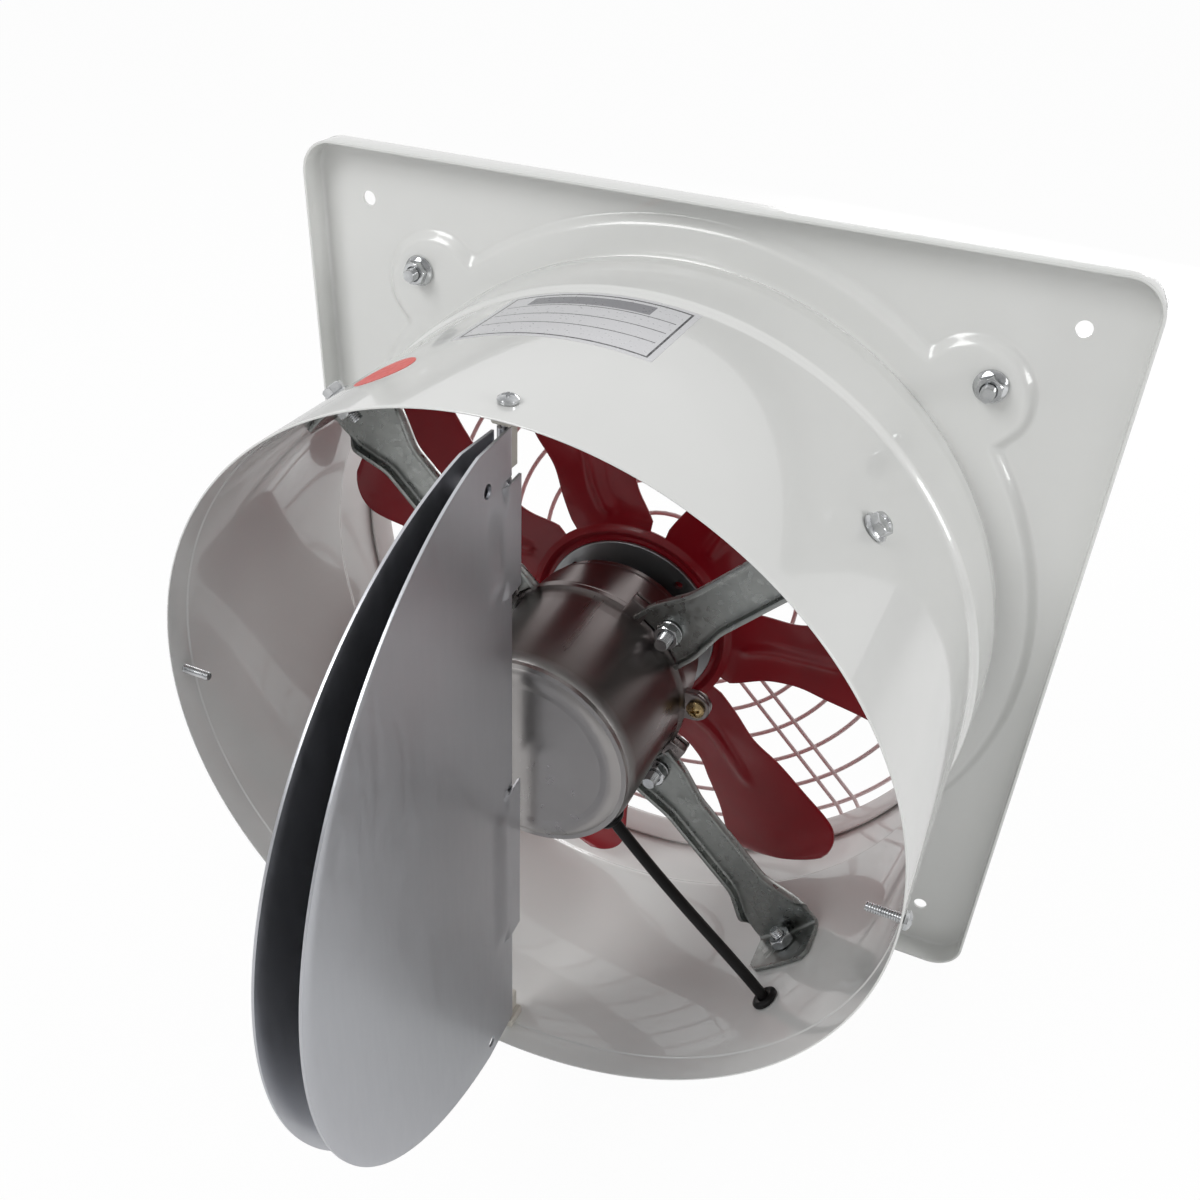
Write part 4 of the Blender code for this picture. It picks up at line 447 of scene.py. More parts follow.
def add(tree, kind, settings=None, **values):
    """A node with its settings, and its inputs linked or set."""
    node = tree.nodes.new(kind)
    for name, value in (settings or {}).items():
        setattr(node, name, value)
    return fill(tree, node, **values)


def combine(tree, operation, first, second):
    """A value worked out from two others."""
    return add(tree, "ShaderNodeMath", {"operation": operation}, i0=first, i1=second).outputs[0]


def noise(tree, place, scale, detail, roughness=0.5):
    """Cloudy noise between 0 and 1."""
    node = add(tree, "ShaderNodeTexNoise", Vector=place, Scale=scale, Detail=detail, Roughness=roughness)
    return node.outputs[0]


def spread(tree, value, low, high, out_low, out_high):
    """A value mapped from one range onto another, and held inside it."""
    node = add(tree, "ShaderNodeMapRange", i0=value, i1=low, i2=high, i3=out_low, i4=out_high)
    return node.outputs[0]


def blended(tree, mask, first, second):
    """First colour where the mask is 0 and the second where it is 1."""
    node = add(tree, "ShaderNodeMix", {"data_type": "RGBA"}, i0=mask, i6=first, i7=second)
    return node.outputs[2]


def paint_skin():
    """Sprayed paint: broad uneven shade, fine orange peel, and a few specks of dust."""
    group, start, end = new_skin(
        "paint_skin", Place=None, Colour=(0.7, 0.7, 0.7, 1), Shade=(0.6, 0.6, 0.6, 1), Speck=(0.3, 0.3, 0.3, 1),
        Gloss=0.3, Peel_Size=700.0,
    )
    if start is None:
        return group
    place = start.outputs["Place"]
    broad = noise(group, place, 14.0, 3.0, 0.55)
    smear = noise(group, place, 60.0, 5.0, 0.6)
    peel = noise(group, place, start.outputs["Peel Size"], 2.0)
    specks = add(group, "ShaderNodeTexVoronoi", Vector=place, Scale=95.0, Randomness=1.0)
    shade = spread(group, broad, 0.42, 0.75, 0.0, 1.0)
    tinted = blended(group, shade, start.outputs["Colour"], start.outputs["Shade"])
    dots = spread(group, specks.outputs["Distance"], 0.025, 0.04, 0.4, 0.0)
    few = spread(group, smear, 0.60, 0.66, 0.0, 1.0)
    speckled = combine(group, "MULTIPLY", dots, few)
    colour = blended(group, speckled, tinted, start.outputs["Speck"])
    uneven = spread(group, smear, 0.3, 0.7, -0.015, 0.02)
    gloss = combine(group, "ADD", uneven, start.outputs["Gloss"])
    return end_skin(group, end, colour, gloss, peel)


def metal_skin():
    """Rolled or drawn metal: streaks along one way, cloudy stains and fine grain."""
    group, start, end = new_skin(
        "metal_skin", Place=None, Streak_Place=None, Colour=(0.5, 0.5, 0.5, 1), Stain=(0.3, 0.3, 0.3, 1),
        Gloss=0.3, Cloud_Size=40.0, Grain_Size=900.0,
    )
    if start is None:
        return group
    place, streaks_at = start.outputs["Place"], start.outputs["Streak Place"]
    cloud = noise(group, place, start.outputs["Cloud Size"], 5.0)
    streak = noise(group, streaks_at, 1.0, 4.0, 0.65)
    grain = noise(group, place, start.outputs["Grain Size"], 2.0)
    clouds = spread(group, cloud, 0.4, 0.68, 0.0, 1.0)
    colour = blended(group, clouds, start.outputs["Colour"], start.outputs["Stain"])
    rough = spread(group, streak, 0.3, 0.7, -0.035, 0.045)
    rougher = spread(group, cloud, 0.35, 0.7, -0.02, 0.04)
    gloss = combine(group, "ADD", combine(group, "ADD", rough, rougher), start.outputs["Gloss"])
    height = combine(group, "ADD", streak, grain)
    return end_skin(group, end, colour, gloss, height)


def spangle_skin():
    """Hot-dip zinc: flat crystals a few millimetres wide, each with its own tone and gloss."""
    group, start, end = new_skin(
        "spangle_skin", Place=None, Colour=(0.4, 0.42, 0.4, 1), Dark=(0.25, 0.27, 0.25, 1), Gloss=0.3,
        Crystal_Size=260.0,
    )
    if start is None:
        return group
    place = start.outputs["Place"]
    bend = add(group, "ShaderNodeTexNoise", Vector=place, Scale=120.0, Detail=2.0)
    shifted = add(group, "ShaderNodeVectorMath", {"operation": "SCALE"}, Vector=bend.outputs[1], Scale=0.004)
    warped = add(group, "ShaderNodeVectorMath", {"operation": "ADD"}, i0=place, i1=shifted.outputs[0])
    crystals = add(group, "ShaderNodeTexVoronoi", Vector=warped.outputs[0], Scale=start.outputs["Crystal Size"])
    tone = add(group, "ShaderNodeSeparateColor", Color=crystals.outputs["Color"])
    stain = noise(group, place, 45.0, 5.0)
    dark = spread(group, stain, 0.4, 0.7, 0.0, 0.75)
    tones = spread(group, tone.outputs[0], 0.0, 1.0, 0.0, 0.35)
    mask = combine(group, "ADD", tones, dark)
    colour = blended(group, mask, start.outputs["Colour"], start.outputs["Dark"])
    wave = spread(group, tone.outputs[1], 0.0, 1.0, -0.07, 0.09)
    gloss = combine(group, "ADD", wave, start.outputs["Gloss"])
    return end_skin(group, end, colour, gloss, stain)


def start_material(name):
    """A new material's tree with its shader and the piece's own coordinates, or the material already made."""
    old = bpy.data.materials.get(name + "_finish")
    if old:
        return old, None, None, None
    material = bpy.data.materials.new(name + "_finish")
    material.use_nodes = True
    tree = material.node_tree
    place = tree.nodes.new("ShaderNodeTexCoord").outputs["Object"]
    return material, tree, tree.nodes["Principled BSDF"], place


def apply_skin(tree, shader, group, strength, distance, **inputs):
    """Places a skin group in a material and links it to the shader, its height through a bump."""
    values = {name: (*value, 1) if isinstance(value, tuple) else value for name, value in inputs.items()}
    colour, gloss, height = add(tree, "ShaderNodeGroup", {"node_tree": group}, **values).outputs
    bump = add(tree, "ShaderNodeBump", Height=height, Strength=strength, Distance=distance)
    fill(tree, shader, Base_Color=colour, Roughness=gloss, Normal=bump.outputs[0])


def painted(name, colour, shade, speck, gloss, peel, coat, coat_gloss, level=0.5):
    """Sprayed enamel over sheet."""
    material, tree, shader, place = start_material(name)
    if tree:
        apply_skin(
            tree, shader, paint_skin(), peel, 0.00006,
            Place=place, Colour=colour, Shade=shade, Speck=speck, Gloss=gloss, Peel_Size=620.0,
        )
        fill(tree, shader, Coat_Weight=coat, Coat_Roughness=coat_gloss, Specular_IOR_Level=level)
    return material


def metal(name, colour, stain, gloss, streaks, cloud=40.0, bump=0.12, grain=900.0):
    """Bare sheet or bar, with streaks along the way in which the streak scales are small."""
    material, tree, shader, place = start_material(name)
    if tree:
        stretched = add(tree, "ShaderNodeMapping", Vector=place, Scale=streaks).outputs[0]
        apply_skin(
            tree, shader, metal_skin(), bump, 0.00004,
            Place=place, Streak_Place=stretched, Colour=colour, Stain=stain, Gloss=gloss, Cloud_Size=cloud,
            Grain_Size=grain,
        )
        fill(tree, shader, Metallic=1.0)
    return material


def housing_paint():
    """White enamel of the plate and the duct."""
    colour = tuple(bpy.context.scene.fan_finishes.housing_colour)
    shade = tuple(0.975 * c for c in colour)
    return painted("white_paint", colour, shade, (0.35, 0.33, 0.30), 0.25, 0.008, 0.8, 0.03)


def bar_paint():
    """Cream paint of the shutter's brackets."""
    colour = tuple(bpy.context.scene.fan_finishes.bar_colour)
    shade = tuple(0.85 * c for c in colour)
    return painted("cream_paint", colour, shade, (0.25, 0.22, 0.2), 0.42, 0.2, 0.1, 0.3)


def blade_paint():
    """Red enamel of the impeller."""
    colour = tuple(bpy.context.scene.fan_finishes.blade_colour)
    shade = tuple(0.72 * c for c in colour)
    return painted("red_paint", colour, shade, (0.30, 0.08, 0.08), 0.30, 0.015, 0.25, 0.06, 0.25)


def guard_paint():
    """Pale paint of the guard's wires, tinted pink as a painted reflection of the red blades."""
    colour = tuple(bpy.context.scene.fan_finishes.guard_colour_with_red_reflection)
    shade = tuple(0.8 * c for c in colour)
    return painted("guard_wire_steel", colour, shade, (0.2, 0.15, 0.15), 0.4, 0.1, 0.1, 0.3)


def drawn_steel():
    """Housing steel with streaks along the draw, and painted reflection: the sides are painted browner and darker
    than the rear cup's end, for the duct's dim red inside that they reflect, and the end lighter, for the bright
    light that it reflects.
    """
    material, tree, shader, place = start_material("drawn_steel")
    if tree:
        # Painted reflection: the last few millimetres of the rear cup's end take the lighter colour, and the rest,
        # the front cup too, the darker brown.
        depth = add(tree, "ShaderNodeSeparateXYZ", Vector=place).outputs[1]
        side = spread(tree, depth, 0.0045 - REAR_CUP_Z, 0.0085 - REAR_CUP_Z, 0.0, 1.0)
        stretched = add(tree, "ShaderNodeMapping", Vector=place, Scale=(160.0, 5.0, 160.0)).outputs[0]
        apply_skin(
            tree, shader, metal_skin(), 0.002, 0.00004,
            Place=place, Streak_Place=stretched, Gloss=0.30, Cloud_Size=16.0, Grain_Size=1300.0,
            Colour=blended(tree, side, (0.40, 0.385, 0.38, 1), (0.225, 0.20, 0.196, 1)),
            Stain=blended(tree, side, (0.34, 0.325, 0.32, 1), (0.19, 0.168, 0.164, 1)),
        )
        fill(tree, shader, Metallic=1.0)
    return material


def galvanised():
    """Hot-dip zinc of the arms."""
    material, tree, shader, place = start_material("galvanised")
    if tree:
        apply_skin(
            tree, shader, spangle_skin(), 0.12, 0.0002,
            Place=place, Colour=(0.31, 0.32, 0.31), Dark=(0.25, 0.26, 0.252), Gloss=0.31, Crystal_Size=420.0,
        )
        fill(tree, shader, Metallic=1.0)
    return material


def disc_zinc():
    """Dull zinc of the hub disc."""
    return metal("disc_zinc", (0.40, 0.41, 0.42), (0.33, 0.34, 0.35), 0.36, (60.0, 5.0, 60.0), 24.0, 0.02)


def bright_zinc():
    """Bright zinc of bolts, nuts and screws."""
    return metal("zinc_plate", (0.66, 0.67, 0.68), (0.42, 0.43, 0.44), 0.13, (900.0, 900.0, 900.0), 160.0, 0.04)


def yellow_zinc():
    """Yellow zinc of the ear screws."""
    return metal("yellow_zinc", (0.46, 0.34, 0.17), (0.26, 0.18, 0.10), 0.26, (900.0, 900.0, 900.0), 220.0, 0.08)


def leaf_aluminium():
    """Satin aluminium of the leaves, with its streaks along the hinge."""
    return metal(
        "satin_aluminium", (0.57, 0.58, 0.61), (0.545, 0.555, 0.585), 0.36, (260.0, 260.0, 40.0), 7.0, 0.012
    )


def ground_steel():
    """Ground steel of the shaft, the bearings and the hinge rod."""
    return metal("ground_steel", (0.60, 0.60, 0.61), (0.45, 0.45, 0.46), 0.20, (900.0, 30.0, 900.0), 90.0, 0.10)


def core_steel():
    """Stacked sheets of the motor's cores."""
    return metal("core_steel", (0.26, 0.26, 0.27), (0.14, 0.13, 0.13), 0.42, (30.0, 1900.0, 30.0), 60.0, 0.3)


def copper_winding():
    """Enamelled copper wire of the windings."""
    return metal("copper_winding", (0.55, 0.21, 0.08), (0.30, 0.10, 0.04), 0.32, (1400.0, 200.0, 1400.0), 90.0, 0.4)


def dress_zinc(piece, node, body="fan_body"):
    """Dresses a bolt, a nut or a screw."""
    dress(piece, bright_zinc(), body, "zinc_plate", node)


def rubber():
    """Black rubber of the lead, its bush and its grommet."""
    material, tree, shader, place = start_material("black_rubber")
    if tree:
        apply_skin(
            tree, shader, paint_skin(), 0.25, 0.0001,
            Place=place, Colour=(0.006, 0.005, 0.005), Shade=(0.011, 0.010, 0.010), Speck=(0.08, 0.08, 0.08),
            Gloss=0.30, Peel_Size=1500.0,
        )
        fill(tree, shader, Specular_IOR_Level=0.18)
    return material


# Plate


def square_radius(angles, half, corner):
    """Distance from the centre to a square's edge with round corners: half / cos a, or the far hit on its arc."""
    a = np.abs(angles) % (math.pi / 2)
    a = np.minimum(a, math.pi / 2 - a)
    straight = half - corner
    along = straight * (np.cos(a) + np.sin(a))
    arc = along + np.sqrt(np.maximum(along**2 - 2 * straight**2 + corner**2, 0))
    return np.where(a <= math.atan2(straight, half), half / np.cos(a), arc)


def field_distance(r, angles):
    """Signed distance to the raised field's edge: a circle joined, with a soft fillet, to four lobes.

    A lobe is a strip along a diagonal, ended by a square with round corners. Joins blend by a quadratic of width k.
    """
    x, y = np.abs(r * np.cos(angles)), np.abs(r * np.sin(angles))
    circle = np.hypot(x, y) - EMBOSS_RADIUS
    strip = np.abs(x - y) / math.sqrt(2) - LOBE_WIDTH / 2
    qx, qy = x - (LOBE_REACH - LOBE_CORNER), y - (LOBE_REACH - LOBE_CORNER)
    end = np.hypot(np.maximum(qx, 0), np.maximum(qy, 0)) + np.minimum(np.maximum(qx, qy), 0) - LOBE_CORNER
    h = np.clip(0.5 + 0.5 * (strip - end) / LOBE_JOIN, 0, 1)
    lobe = end * (1 - h) + strip * h + LOBE_JOIN * h * (1 - h)
    k = bpy.context.scene.fan_sizes.lobe_fillet
    h = np.clip(0.5 + 0.5 * (lobe - circle) / k, 0, 1)
    return lobe * (1 - h) + circle * h - k * h * (1 - h)


def field_edge(angles, level, outline):
    """Radius at which the field's distance reaches a level, found by halving between the bell and the outline."""
    low = np.full(angles.shape, DUCT_BORE + BELL_RADIUS + 0.0005)
    high = outline.copy()
    for _ in range(30):
        middle = (low + high) / 2
        inside = field_distance(middle, angles) < level
        low, high = np.where(inside, middle, low), np.where(inside, high, middle)
    return (low + high) / 2


def make_plate():
    """The pressed plate: loops of points out from the collar, over the bell and the raised field, to the lip."""
    even = np.arange(0, 360, 1.0)
    lobes = [q + s * np.arange(5.5, 10.5, 0.1) for q in QUARTERS for s in (-1, 1)]
    corners = [q + np.arange(-5.4, 5.5, 0.3) for q in QUARTERS]
    angles = np.radians(np.unique(np.round(np.concatenate([even] + lobes + corners), 3)))
    half = PLATE_SHEET / 2
    collar = EMBOSS_DEPTH + BELL_RADIUS
    loops = [around(DUCT_BORE + half + 0.0014 * s, collar + s * COLLAR_LENGTH, angles) for s in (1, 0.5)]
    for turn in np.linspace(0, math.pi / 2, 8):
        r = DUCT_BORE + BELL_RADIUS - (BELL_RADIUS - half) * math.cos(turn)
        loops.append(around(r, EMBOSS_DEPTH + BELL_RADIUS - (BELL_RADIUS - half) * math.sin(turn), angles))
    slope = bpy.context.scene.fan_sizes.emboss_slope
    bend = LIP_BEND - half
    flat_edge = square_radius(angles, PLATE_HALF - LIP_BEND, PLATE_CORNER - LIP_BEND)
    levels = np.linspace(-slope / 2, slope / 2, 11)
    radii = [field_edge(angles, level, flat_edge - 0.0004) for level in levels]
    start = np.full(angles.shape, DUCT_BORE + BELL_RADIUS)
    for share in (0.35, 0.7, 0.95):
        loops.append(around(start + share * (radii[0] - start), EMBOSS_DEPTH + half, angles))
    for r, level in zip(radii, levels):
        fall = float(ease(level / slope + 0.5))
        loops.append(around(r, half + EMBOSS_DEPTH * (1 - fall), angles))
    for share in (0.03, 0.3, 0.65, 0.97):
        loops.append(around(radii[-1] + share * (flat_edge - radii[-1]), half, angles))
    for turn in np.linspace(0, math.pi / 2, 7):
        square = PLATE_HALF - LIP_BEND + bend * math.sin(turn)
        loops.append(
            around(square_radius(angles, square, PLATE_CORNER - (PLATE_HALF - square)),
                   LIP_BEND - bend * math.cos(turn), angles)
        )
    edge = square_radius(angles, PLATE_HALF - half - 0.00006, PLATE_CORNER - half)
    loops += [around(edge, LIP_BEND + s * (PLATE_SHEET + LIP_DEPTH - LIP_BEND), angles) for s in (0.3, 1)]
    plate = surface("plate_sheet", [patch(np.stack(loops), False, True)], closed=False)
    sheet_of(plate, PLATE_SHEET, 0.00025)
    drill = tube_drill(PLATE_HOLE_RADIUS, -0.004, 0.010)
    corners = [(sx, sy) for sx in (-1, 1) for sy in (-1, 1)]
    places = (MOUNT_HOLE_PLACE, STUD_PLACE)
    return drilled(plate, [moved(drill, sx * place, sy * place, 0) for place in places for sx, sy in corners])


# Duct


def make_drum():
    """The drum turned from its profile: rim, round wall, the step up to the shoulder and its rounded foot."""
    outer = rounded(
        [
            (DUCT_RADIUS, DUCT_REACH), (DUCT_RADIUS, SHOULDER_REACH + 0.0028),
            (DUCT_RADIUS + 0.0021, SHOULDER_REACH + 0.0003), (DUCT_RADIUS + 0.0036, FLARE_REACH),
            (DUCT_RADIUS + 0.0030, 0.0100), (DUCT_RADIUS + 0.0016, 0.0050),
        ],
        [0.004, 0.004, 0.03, 0.02],
        8,
    )
    rim = rounded(
        [
            (DUCT_BORE + 0.0004, DUCT_REACH - 0.0110), (DUCT_BORE + 0.0004, DUCT_REACH),
            (DUCT_RADIUS, DUCT_REACH), (DUCT_RADIUS, DUCT_REACH - 0.0015),
        ],
        [0.0003, 0.0005],
        4,
    )
    inner = outer[::-1] - np.array([DUCT_SHEET, 0])
    inner = inner[inner[:, 1] < DUCT_REACH - 0.0125]
    step = rounded(
        [
            (DUCT_BORE, DUCT_REACH - 0.0124), (DUCT_BORE, DUCT_REACH - 0.0118),
            (DUCT_BORE + 0.0004, DUCT_REACH - 0.0112),
        ],
        [0.0006],
        4,
    )
    long_wall = np.array([(DUCT_RADIUS, z) for z in np.linspace(DUCT_REACH - 0.002, SHOULDER_REACH + 0.006, 20)])
    profile = np.concatenate([inner, step, rim[:-1], long_wall, outer[outer[:, 1] < SHOULDER_REACH + 0.0055]])
    return surface("drum_wall", [patch(revolved(profile, 320), True, True)])


# Guard


def make_guard():
    """Rings turned from wire, and four legs that run in along one wire, round a stud and back along the other."""
    patches = []
    radii = [GUARD_OUTER_RING - GUARD_PITCH * i for i in range(8)]
    for radius in radii:
        a = np.linspace(0, TAU, max(40, int(radius * 1300)), endpoint=False)
        patches.append(patch(swept(around(radius, RING_Z, a), GUARD_RING_RADIUS, 14, True), True, True))
    half, bend = GUARD_LEG_HALF, GUARD_LEG_BEND
    stud = STUD_PLACE * math.sqrt(2)
    side = [
        (radii[-1] - RING_WIRE, -half, LEG_Z), (GUARD_OUTER_RING + 0.001, -half, LEG_Z),
        (EMBOSS_RADIUS - 0.008, -half, LEG_END_Z), (stud, -half, LEG_END_Z),
    ]
    turn = [(stud + half, -half, LEG_END_Z), (stud + half, half, LEG_END_Z)]
    back = [(x, -y, z) for x, y, z in side[::-1]]
    leg = rounded(side + turn + back, [bend, bend, 0, half - 0.0001, half - 0.0001, 0, bend, bend], 8)
    keep = np.concatenate([[True], np.linalg.norm(np.diff(leg, axis=0), axis=1) > 1e-5])
    for angle in QUARTERS:
        wire = swept(turned_about_axis(leg[keep], angle), LEG_WIRE / 2, 12)
        patches.append(patch(wire, False, True, True, True))
    return surface("guard_wires", patches, weld=FINE_WELD, smooth=60)


# Screws, bolts and nuts

STUD_HEAD = ((0.0003, -0.0008), (0.006, -0.0009), (0.0073, -0.0006), (0.0075, -0.0003), (0.0074, 0), (0.003, 0))


def threaded(radius, low, high, pitch=THREAD_PITCH, depth=0.00035, sides=28):
    """A thread: radius less depth times a ridge that climbs one pitch in each turn, with both ends chamfered."""
    a = np.linspace(0, TAU, sides, endpoint=False)
    z = np.linspace(low, high, max(8, int(abs(high - low) / pitch * 7)))
    ridge = 0.5 - 0.5 * np.cos(TAU * (z[:, None] / pitch - a[None] / TAU))
    ends = np.minimum(np.abs(z - low), np.abs(z - high))[:, None]
    r = radius - depth * np.maximum(ridge**1.5, 1 - ends / 0.0006)
    return np.stack([r * np.cos(a), r * np.sin(a), np.repeat(z[:, None], sides, axis=1)], axis=-1)


def hex_body(flats, low, high, chamfer_low=False, sides=96):
    """A hexagon's walls, whose corners are cut by a cone at the top and, where asked, at the bottom."""
    a = np.linspace(0, TAU, sides, endpoint=False)
    wall = flats / 2 / np.cos((a + math.pi / 6) % (math.pi / 3) - math.pi / 6)
    cone = [(share * 0.085 * flats, flats / 2 * (0.965 + 0.2 * share)) for share in (0, 0.25, 0.5, 0.75, 1)]
    rows = [(low + rise, limit) for rise, limit in cone] if chamfer_low else [(low, flats)]
    rows += [(high - rise, limit) for rise, limit in cone[::-1]]
    return np.stack([around(np.minimum(wall, limit), z, a) for z, limit in rows])


def ring_rows(radii_z, sides=96):
    """Plain round loops, as (radius, z)."""
    return revolved(radii_z, sides)


def headed(name, head, shank, smooth=SMOOTH):
    """A head and a shank, each closed at both ends, as one piece."""
    patches = [patch(part, False, True, True, True) for part in (head, shank)]
    return surface(name, patches, weld=FINE_WELD, smooth=smooth)


def make_nut(name, flats, height, bore, place, flange=0.0, flange_height=0.0):
    """A hexagon nut, perhaps with a round flange, and a countersunk bore."""
    loops = []
    if flange:
        cone = flange_height * 1.6
        loops.append(ring_rows([(bore, 0), (flange / 2 - 0.0002, 0), (flange / 2, 0.0003)]))
        loops.append(ring_rows([(flange / 2, flange_height * 0.7), (flange / 2 - 0.0003, flange_height)]))
        body = hex_body(flats, cone, height)
    else:
        loops.append(ring_rows([(bore, 0), (flats / 2 * 0.9, 0)]))
        body = hex_body(flats, 0, height, True)
    loops.append(body)
    loops.append(ring_rows([(bore + 0.0006, height), (bore, height - 0.0005)]))
    grid = np.concatenate(loops)
    return surface(name, [patch(place(grid), True, True)], smooth=30)


def make_hex_bolt(name, flats, head, radius, length, place, flange=0.0, flange_height=0.0):
    """A hexagon bolt whose head stands on z = 0, and whose threaded shank runs down from it."""
    loops = [ring_rows([(radius, 0)])]
    top = head
    if flange:
        top = flange_height + head
        edge = flange / 2
        rim = [(edge - 0.0002, 0), (edge, 0.0003), (edge, flange_height * 0.8), (edge - 0.0004, flange_height)]
        loops.append(ring_rows(rim))
        loops.append(hex_body(flats, flange_height * 1.4, top))
        dish = flats / 2 * 0.70
        loops.append(ring_rows([(dish, top), (dish * 0.9, top - 0.0006), (dish * 0.3, top - 0.0008)]))
    else:
        loops.append(ring_rows([(flats / 2 * 0.9, 0)]))
        loops.append(hex_body(flats, 0, top, True))
        loops.append(ring_rows([(flats / 2 * 0.5, top)]))
    return headed(name, place(np.concatenate(loops)), place(threaded(radius, -length, 0)), 30)


def cross_head(radius, height, arm, depth, sides=96):
    """A pan head: a flattened dome with a cross recess, whose depth fades at the arms' sides and ends."""
    a = np.linspace(0, TAU, sides, endpoint=False)
    share = np.concatenate([[0.02], np.linspace(0.08, 0.92, 26), [0.97, 1.0]])
    r = radius * share[:, None] * np.ones_like(a)[None]
    x, y = r * np.cos(a), r * np.sin(a)
    dome = height * (1 - 0.55 * share**2.6)[:, None]
    ax, ay = np.abs(x), np.abs(y)
    across, along = np.minimum(ax, ay), np.maximum(ax, ay)
    width = arm * 0.26
    cut = ease((width - across) / (width * 0.4)) * ease((arm - along) / (arm * 0.25))
    z = dome - depth * cut * (1 - 0.35 * along / arm)
    return np.stack([x, y, z], axis=-1)


def make_cross_screw(name, head_radius, head_height, radius, length, place):
    """A pan-head screw that stands on z = 0: domed head with its cross, straight skirt, threaded shank."""
    top = cross_head(head_radius, head_height, head_radius * 0.62, head_height * 0.62)
    skirt = ring_rows([(head_radius, head_height * 0.18), (head_radius * 0.98, 0), (radius, 0)])
    return headed(name, place(np.concatenate([top, skirt])), place(threaded(radius, -length, 0)), 40)


# Motor


def lobe_radius(angles, base, lobes, reach):
    """Outline of a flange by angle: its round edge, a lobe's straight sides at h / sin, or the lobe's end arc."""
    radius = np.full(angles.shape, base)
    for middle, width in lobes:
        away = np.abs((angles - math.radians(middle) + math.pi) % TAU - math.pi)
        h, centre = width / 2, reach - width / 2
        arc = centre * np.cos(away) + np.sqrt(np.maximum(h * h - (centre * np.sin(away)) ** 2, 0))
        side = h / np.maximum(np.sin(away), 1e-6)
        lobe = np.where(away < math.asin(h / centre), arc, np.where(away < math.asin(h / base), side, base))
        radius = np.maximum(radius, np.where(away < math.pi / 2, lobe, base))
    return radius


def flange_grid(angles, outline, bore, low, high):
    """A flat ring with a lobed outline, whose edges are rounded by a fifth of its height."""
    round_off = (high - low) * 0.2
    rows = [around(bore, low, angles), around(outline - round_off, low, angles)]
    rows += [around(outline, low + round_off, angles), around(outline, high - round_off, angles)]
    rows += [around(outline - round_off, high, angles), around(bore, high, angles)]
    return np.stack(rows)


def quarter_lobes(first, width):
    """Four lobes a quarter turn apart, as (angle, width)."""
    return [(first + 90 * k, width) for k in range(4)]


def make_rear_cup():
    """The outlet half of the housing: a drawn cup with a stepped rim, a round shoulder and a dished end."""
    end = REAR_CUP_Z
    profile = rounded(
        [
            (JOINT_RADIUS, MOTOR_JOINT), (JOINT_RADIUS, MOTOR_JOINT + 0.0023),
            (REAR_CUP_RADIUS + 0.0004, MOTOR_JOINT + 0.0044), (REAR_CUP_RADIUS, MOTOR_JOINT + 0.0095),
            (REAR_CUP_RADIUS, end), (0.0356, end), (0.0330, end - 0.0004), (0, end - 0.0004),
        ],
        [0.0004, 0.0050, 0.0100, 0.0078, 0.0060, 0.0060],
        8,
    )
    inner = np.array([(0, end - 0.0013), (0.0436, end - 0.0013), (0.0436, MOTOR_JOINT)])
    cup = surface("rear_cup_shell", [patch(revolved(np.concatenate([profile, inner]), 160), True, True)])
    ears = [(angle, EAR_WIDTH) for angle in EAR_ANGLES]
    angles = np.linspace(0, TAU, 900, endpoint=False)
    outline = lobe_radius(angles, JOINT_RADIUS - 0.0003, ears, EAR_REACH)
    grid = flange_grid(angles, outline, JOINT_RADIUS - 0.0006, MOTOR_JOINT, MOTOR_JOINT + FLANGE_SHEET)
    flange = surface("rear_cup_flange", [patch(grid, True, True)])
    return joined("rear_cup", cup, flange, *make_lugs(MOTOR_JOINT + SEAT, MOTOR_JOINT + 0.0043))


def make_lugs(low, high):
    """Four short square lugs with their corners rounded, standing out from the joint of the cups."""
    half, inner, outer = 0.0046, JOINT_RADIUS - 0.0012, EAR_REACH - 0.0037
    outline = rounded(
        [(inner, 0), (inner, -half), (outer, -half), (outer, half), (inner, half), (inner, 0)],
        [0.0001, 0.0012, 0.0012, 0.0001],
        4,
    )[:-1]
    middle = outline.mean(axis=0)
    rows = []
    steps = ((low, 0.0003), (low + 0.0003, 0), (high - 0.0005, 0), (high - 0.00015, 0.00015), (high, 0.0005))
    for z, inset in steps:
        loop = middle + (outline - middle) * (1 - inset / half)
        rows.append(np.column_stack([loop, np.full(len(loop), z)]))
    grid = np.stack(rows)
    turns = [LUG_ANGLE + 90 * k for k in range(4)]
    return [surface("lug", [patch(turned_about_axis(grid, turn), False, True, True, True)]) for turn in turns]


def make_front_cup():
    """The inlet half: a narrower cup whose flange has ears, arm pads and short lugs."""
    low = FRONT_CUP_Z
    profile = rounded(
        [
            (FRONT_CUP_RADIUS, MOTOR_JOINT - 0.0003), (FRONT_CUP_RADIUS, low), (0.0310, low),
            (0.0300, low + 0.0006), (0.0170, low + 0.0006), (0.0160, low), (0.0080, low),
            (0.0080, low + 0.0012),
        ],
        [0.0080, 0.001, 0.001, 0.001, 0.001, 0.0002],
        8,
    )
    inner = np.array([(0.0100, low + 0.0013), (0.0406, low + 0.0013), (0.0406, MOTOR_JOINT - 0.0003)])
    cup = surface("front_cup_shell", [patch(revolved(np.concatenate([profile, inner]), 160), True, True)])
    lobes = [(angle, EAR_WIDTH) for angle in EAR_ANGLES] + quarter_lobes(QUARTERS[0], ARM_PAD_WIDTH)
    angles = np.linspace(0, TAU, 1200, endpoint=False)
    outline = lobe_radius(angles, JOINT_RADIUS - 0.0003, lobes, EAR_REACH)
    top = MOTOR_JOINT - 0.0003
    grid = flange_grid(angles, outline, FRONT_CUP_RADIUS - 0.0006, top - FLANGE_SHEET, top)
    flange = surface("front_cup_flange", [patch(grid, True, True)])
    return joined("front_cup", cup, flange, *make_lugs(top - FLANGE_SHEET, top))


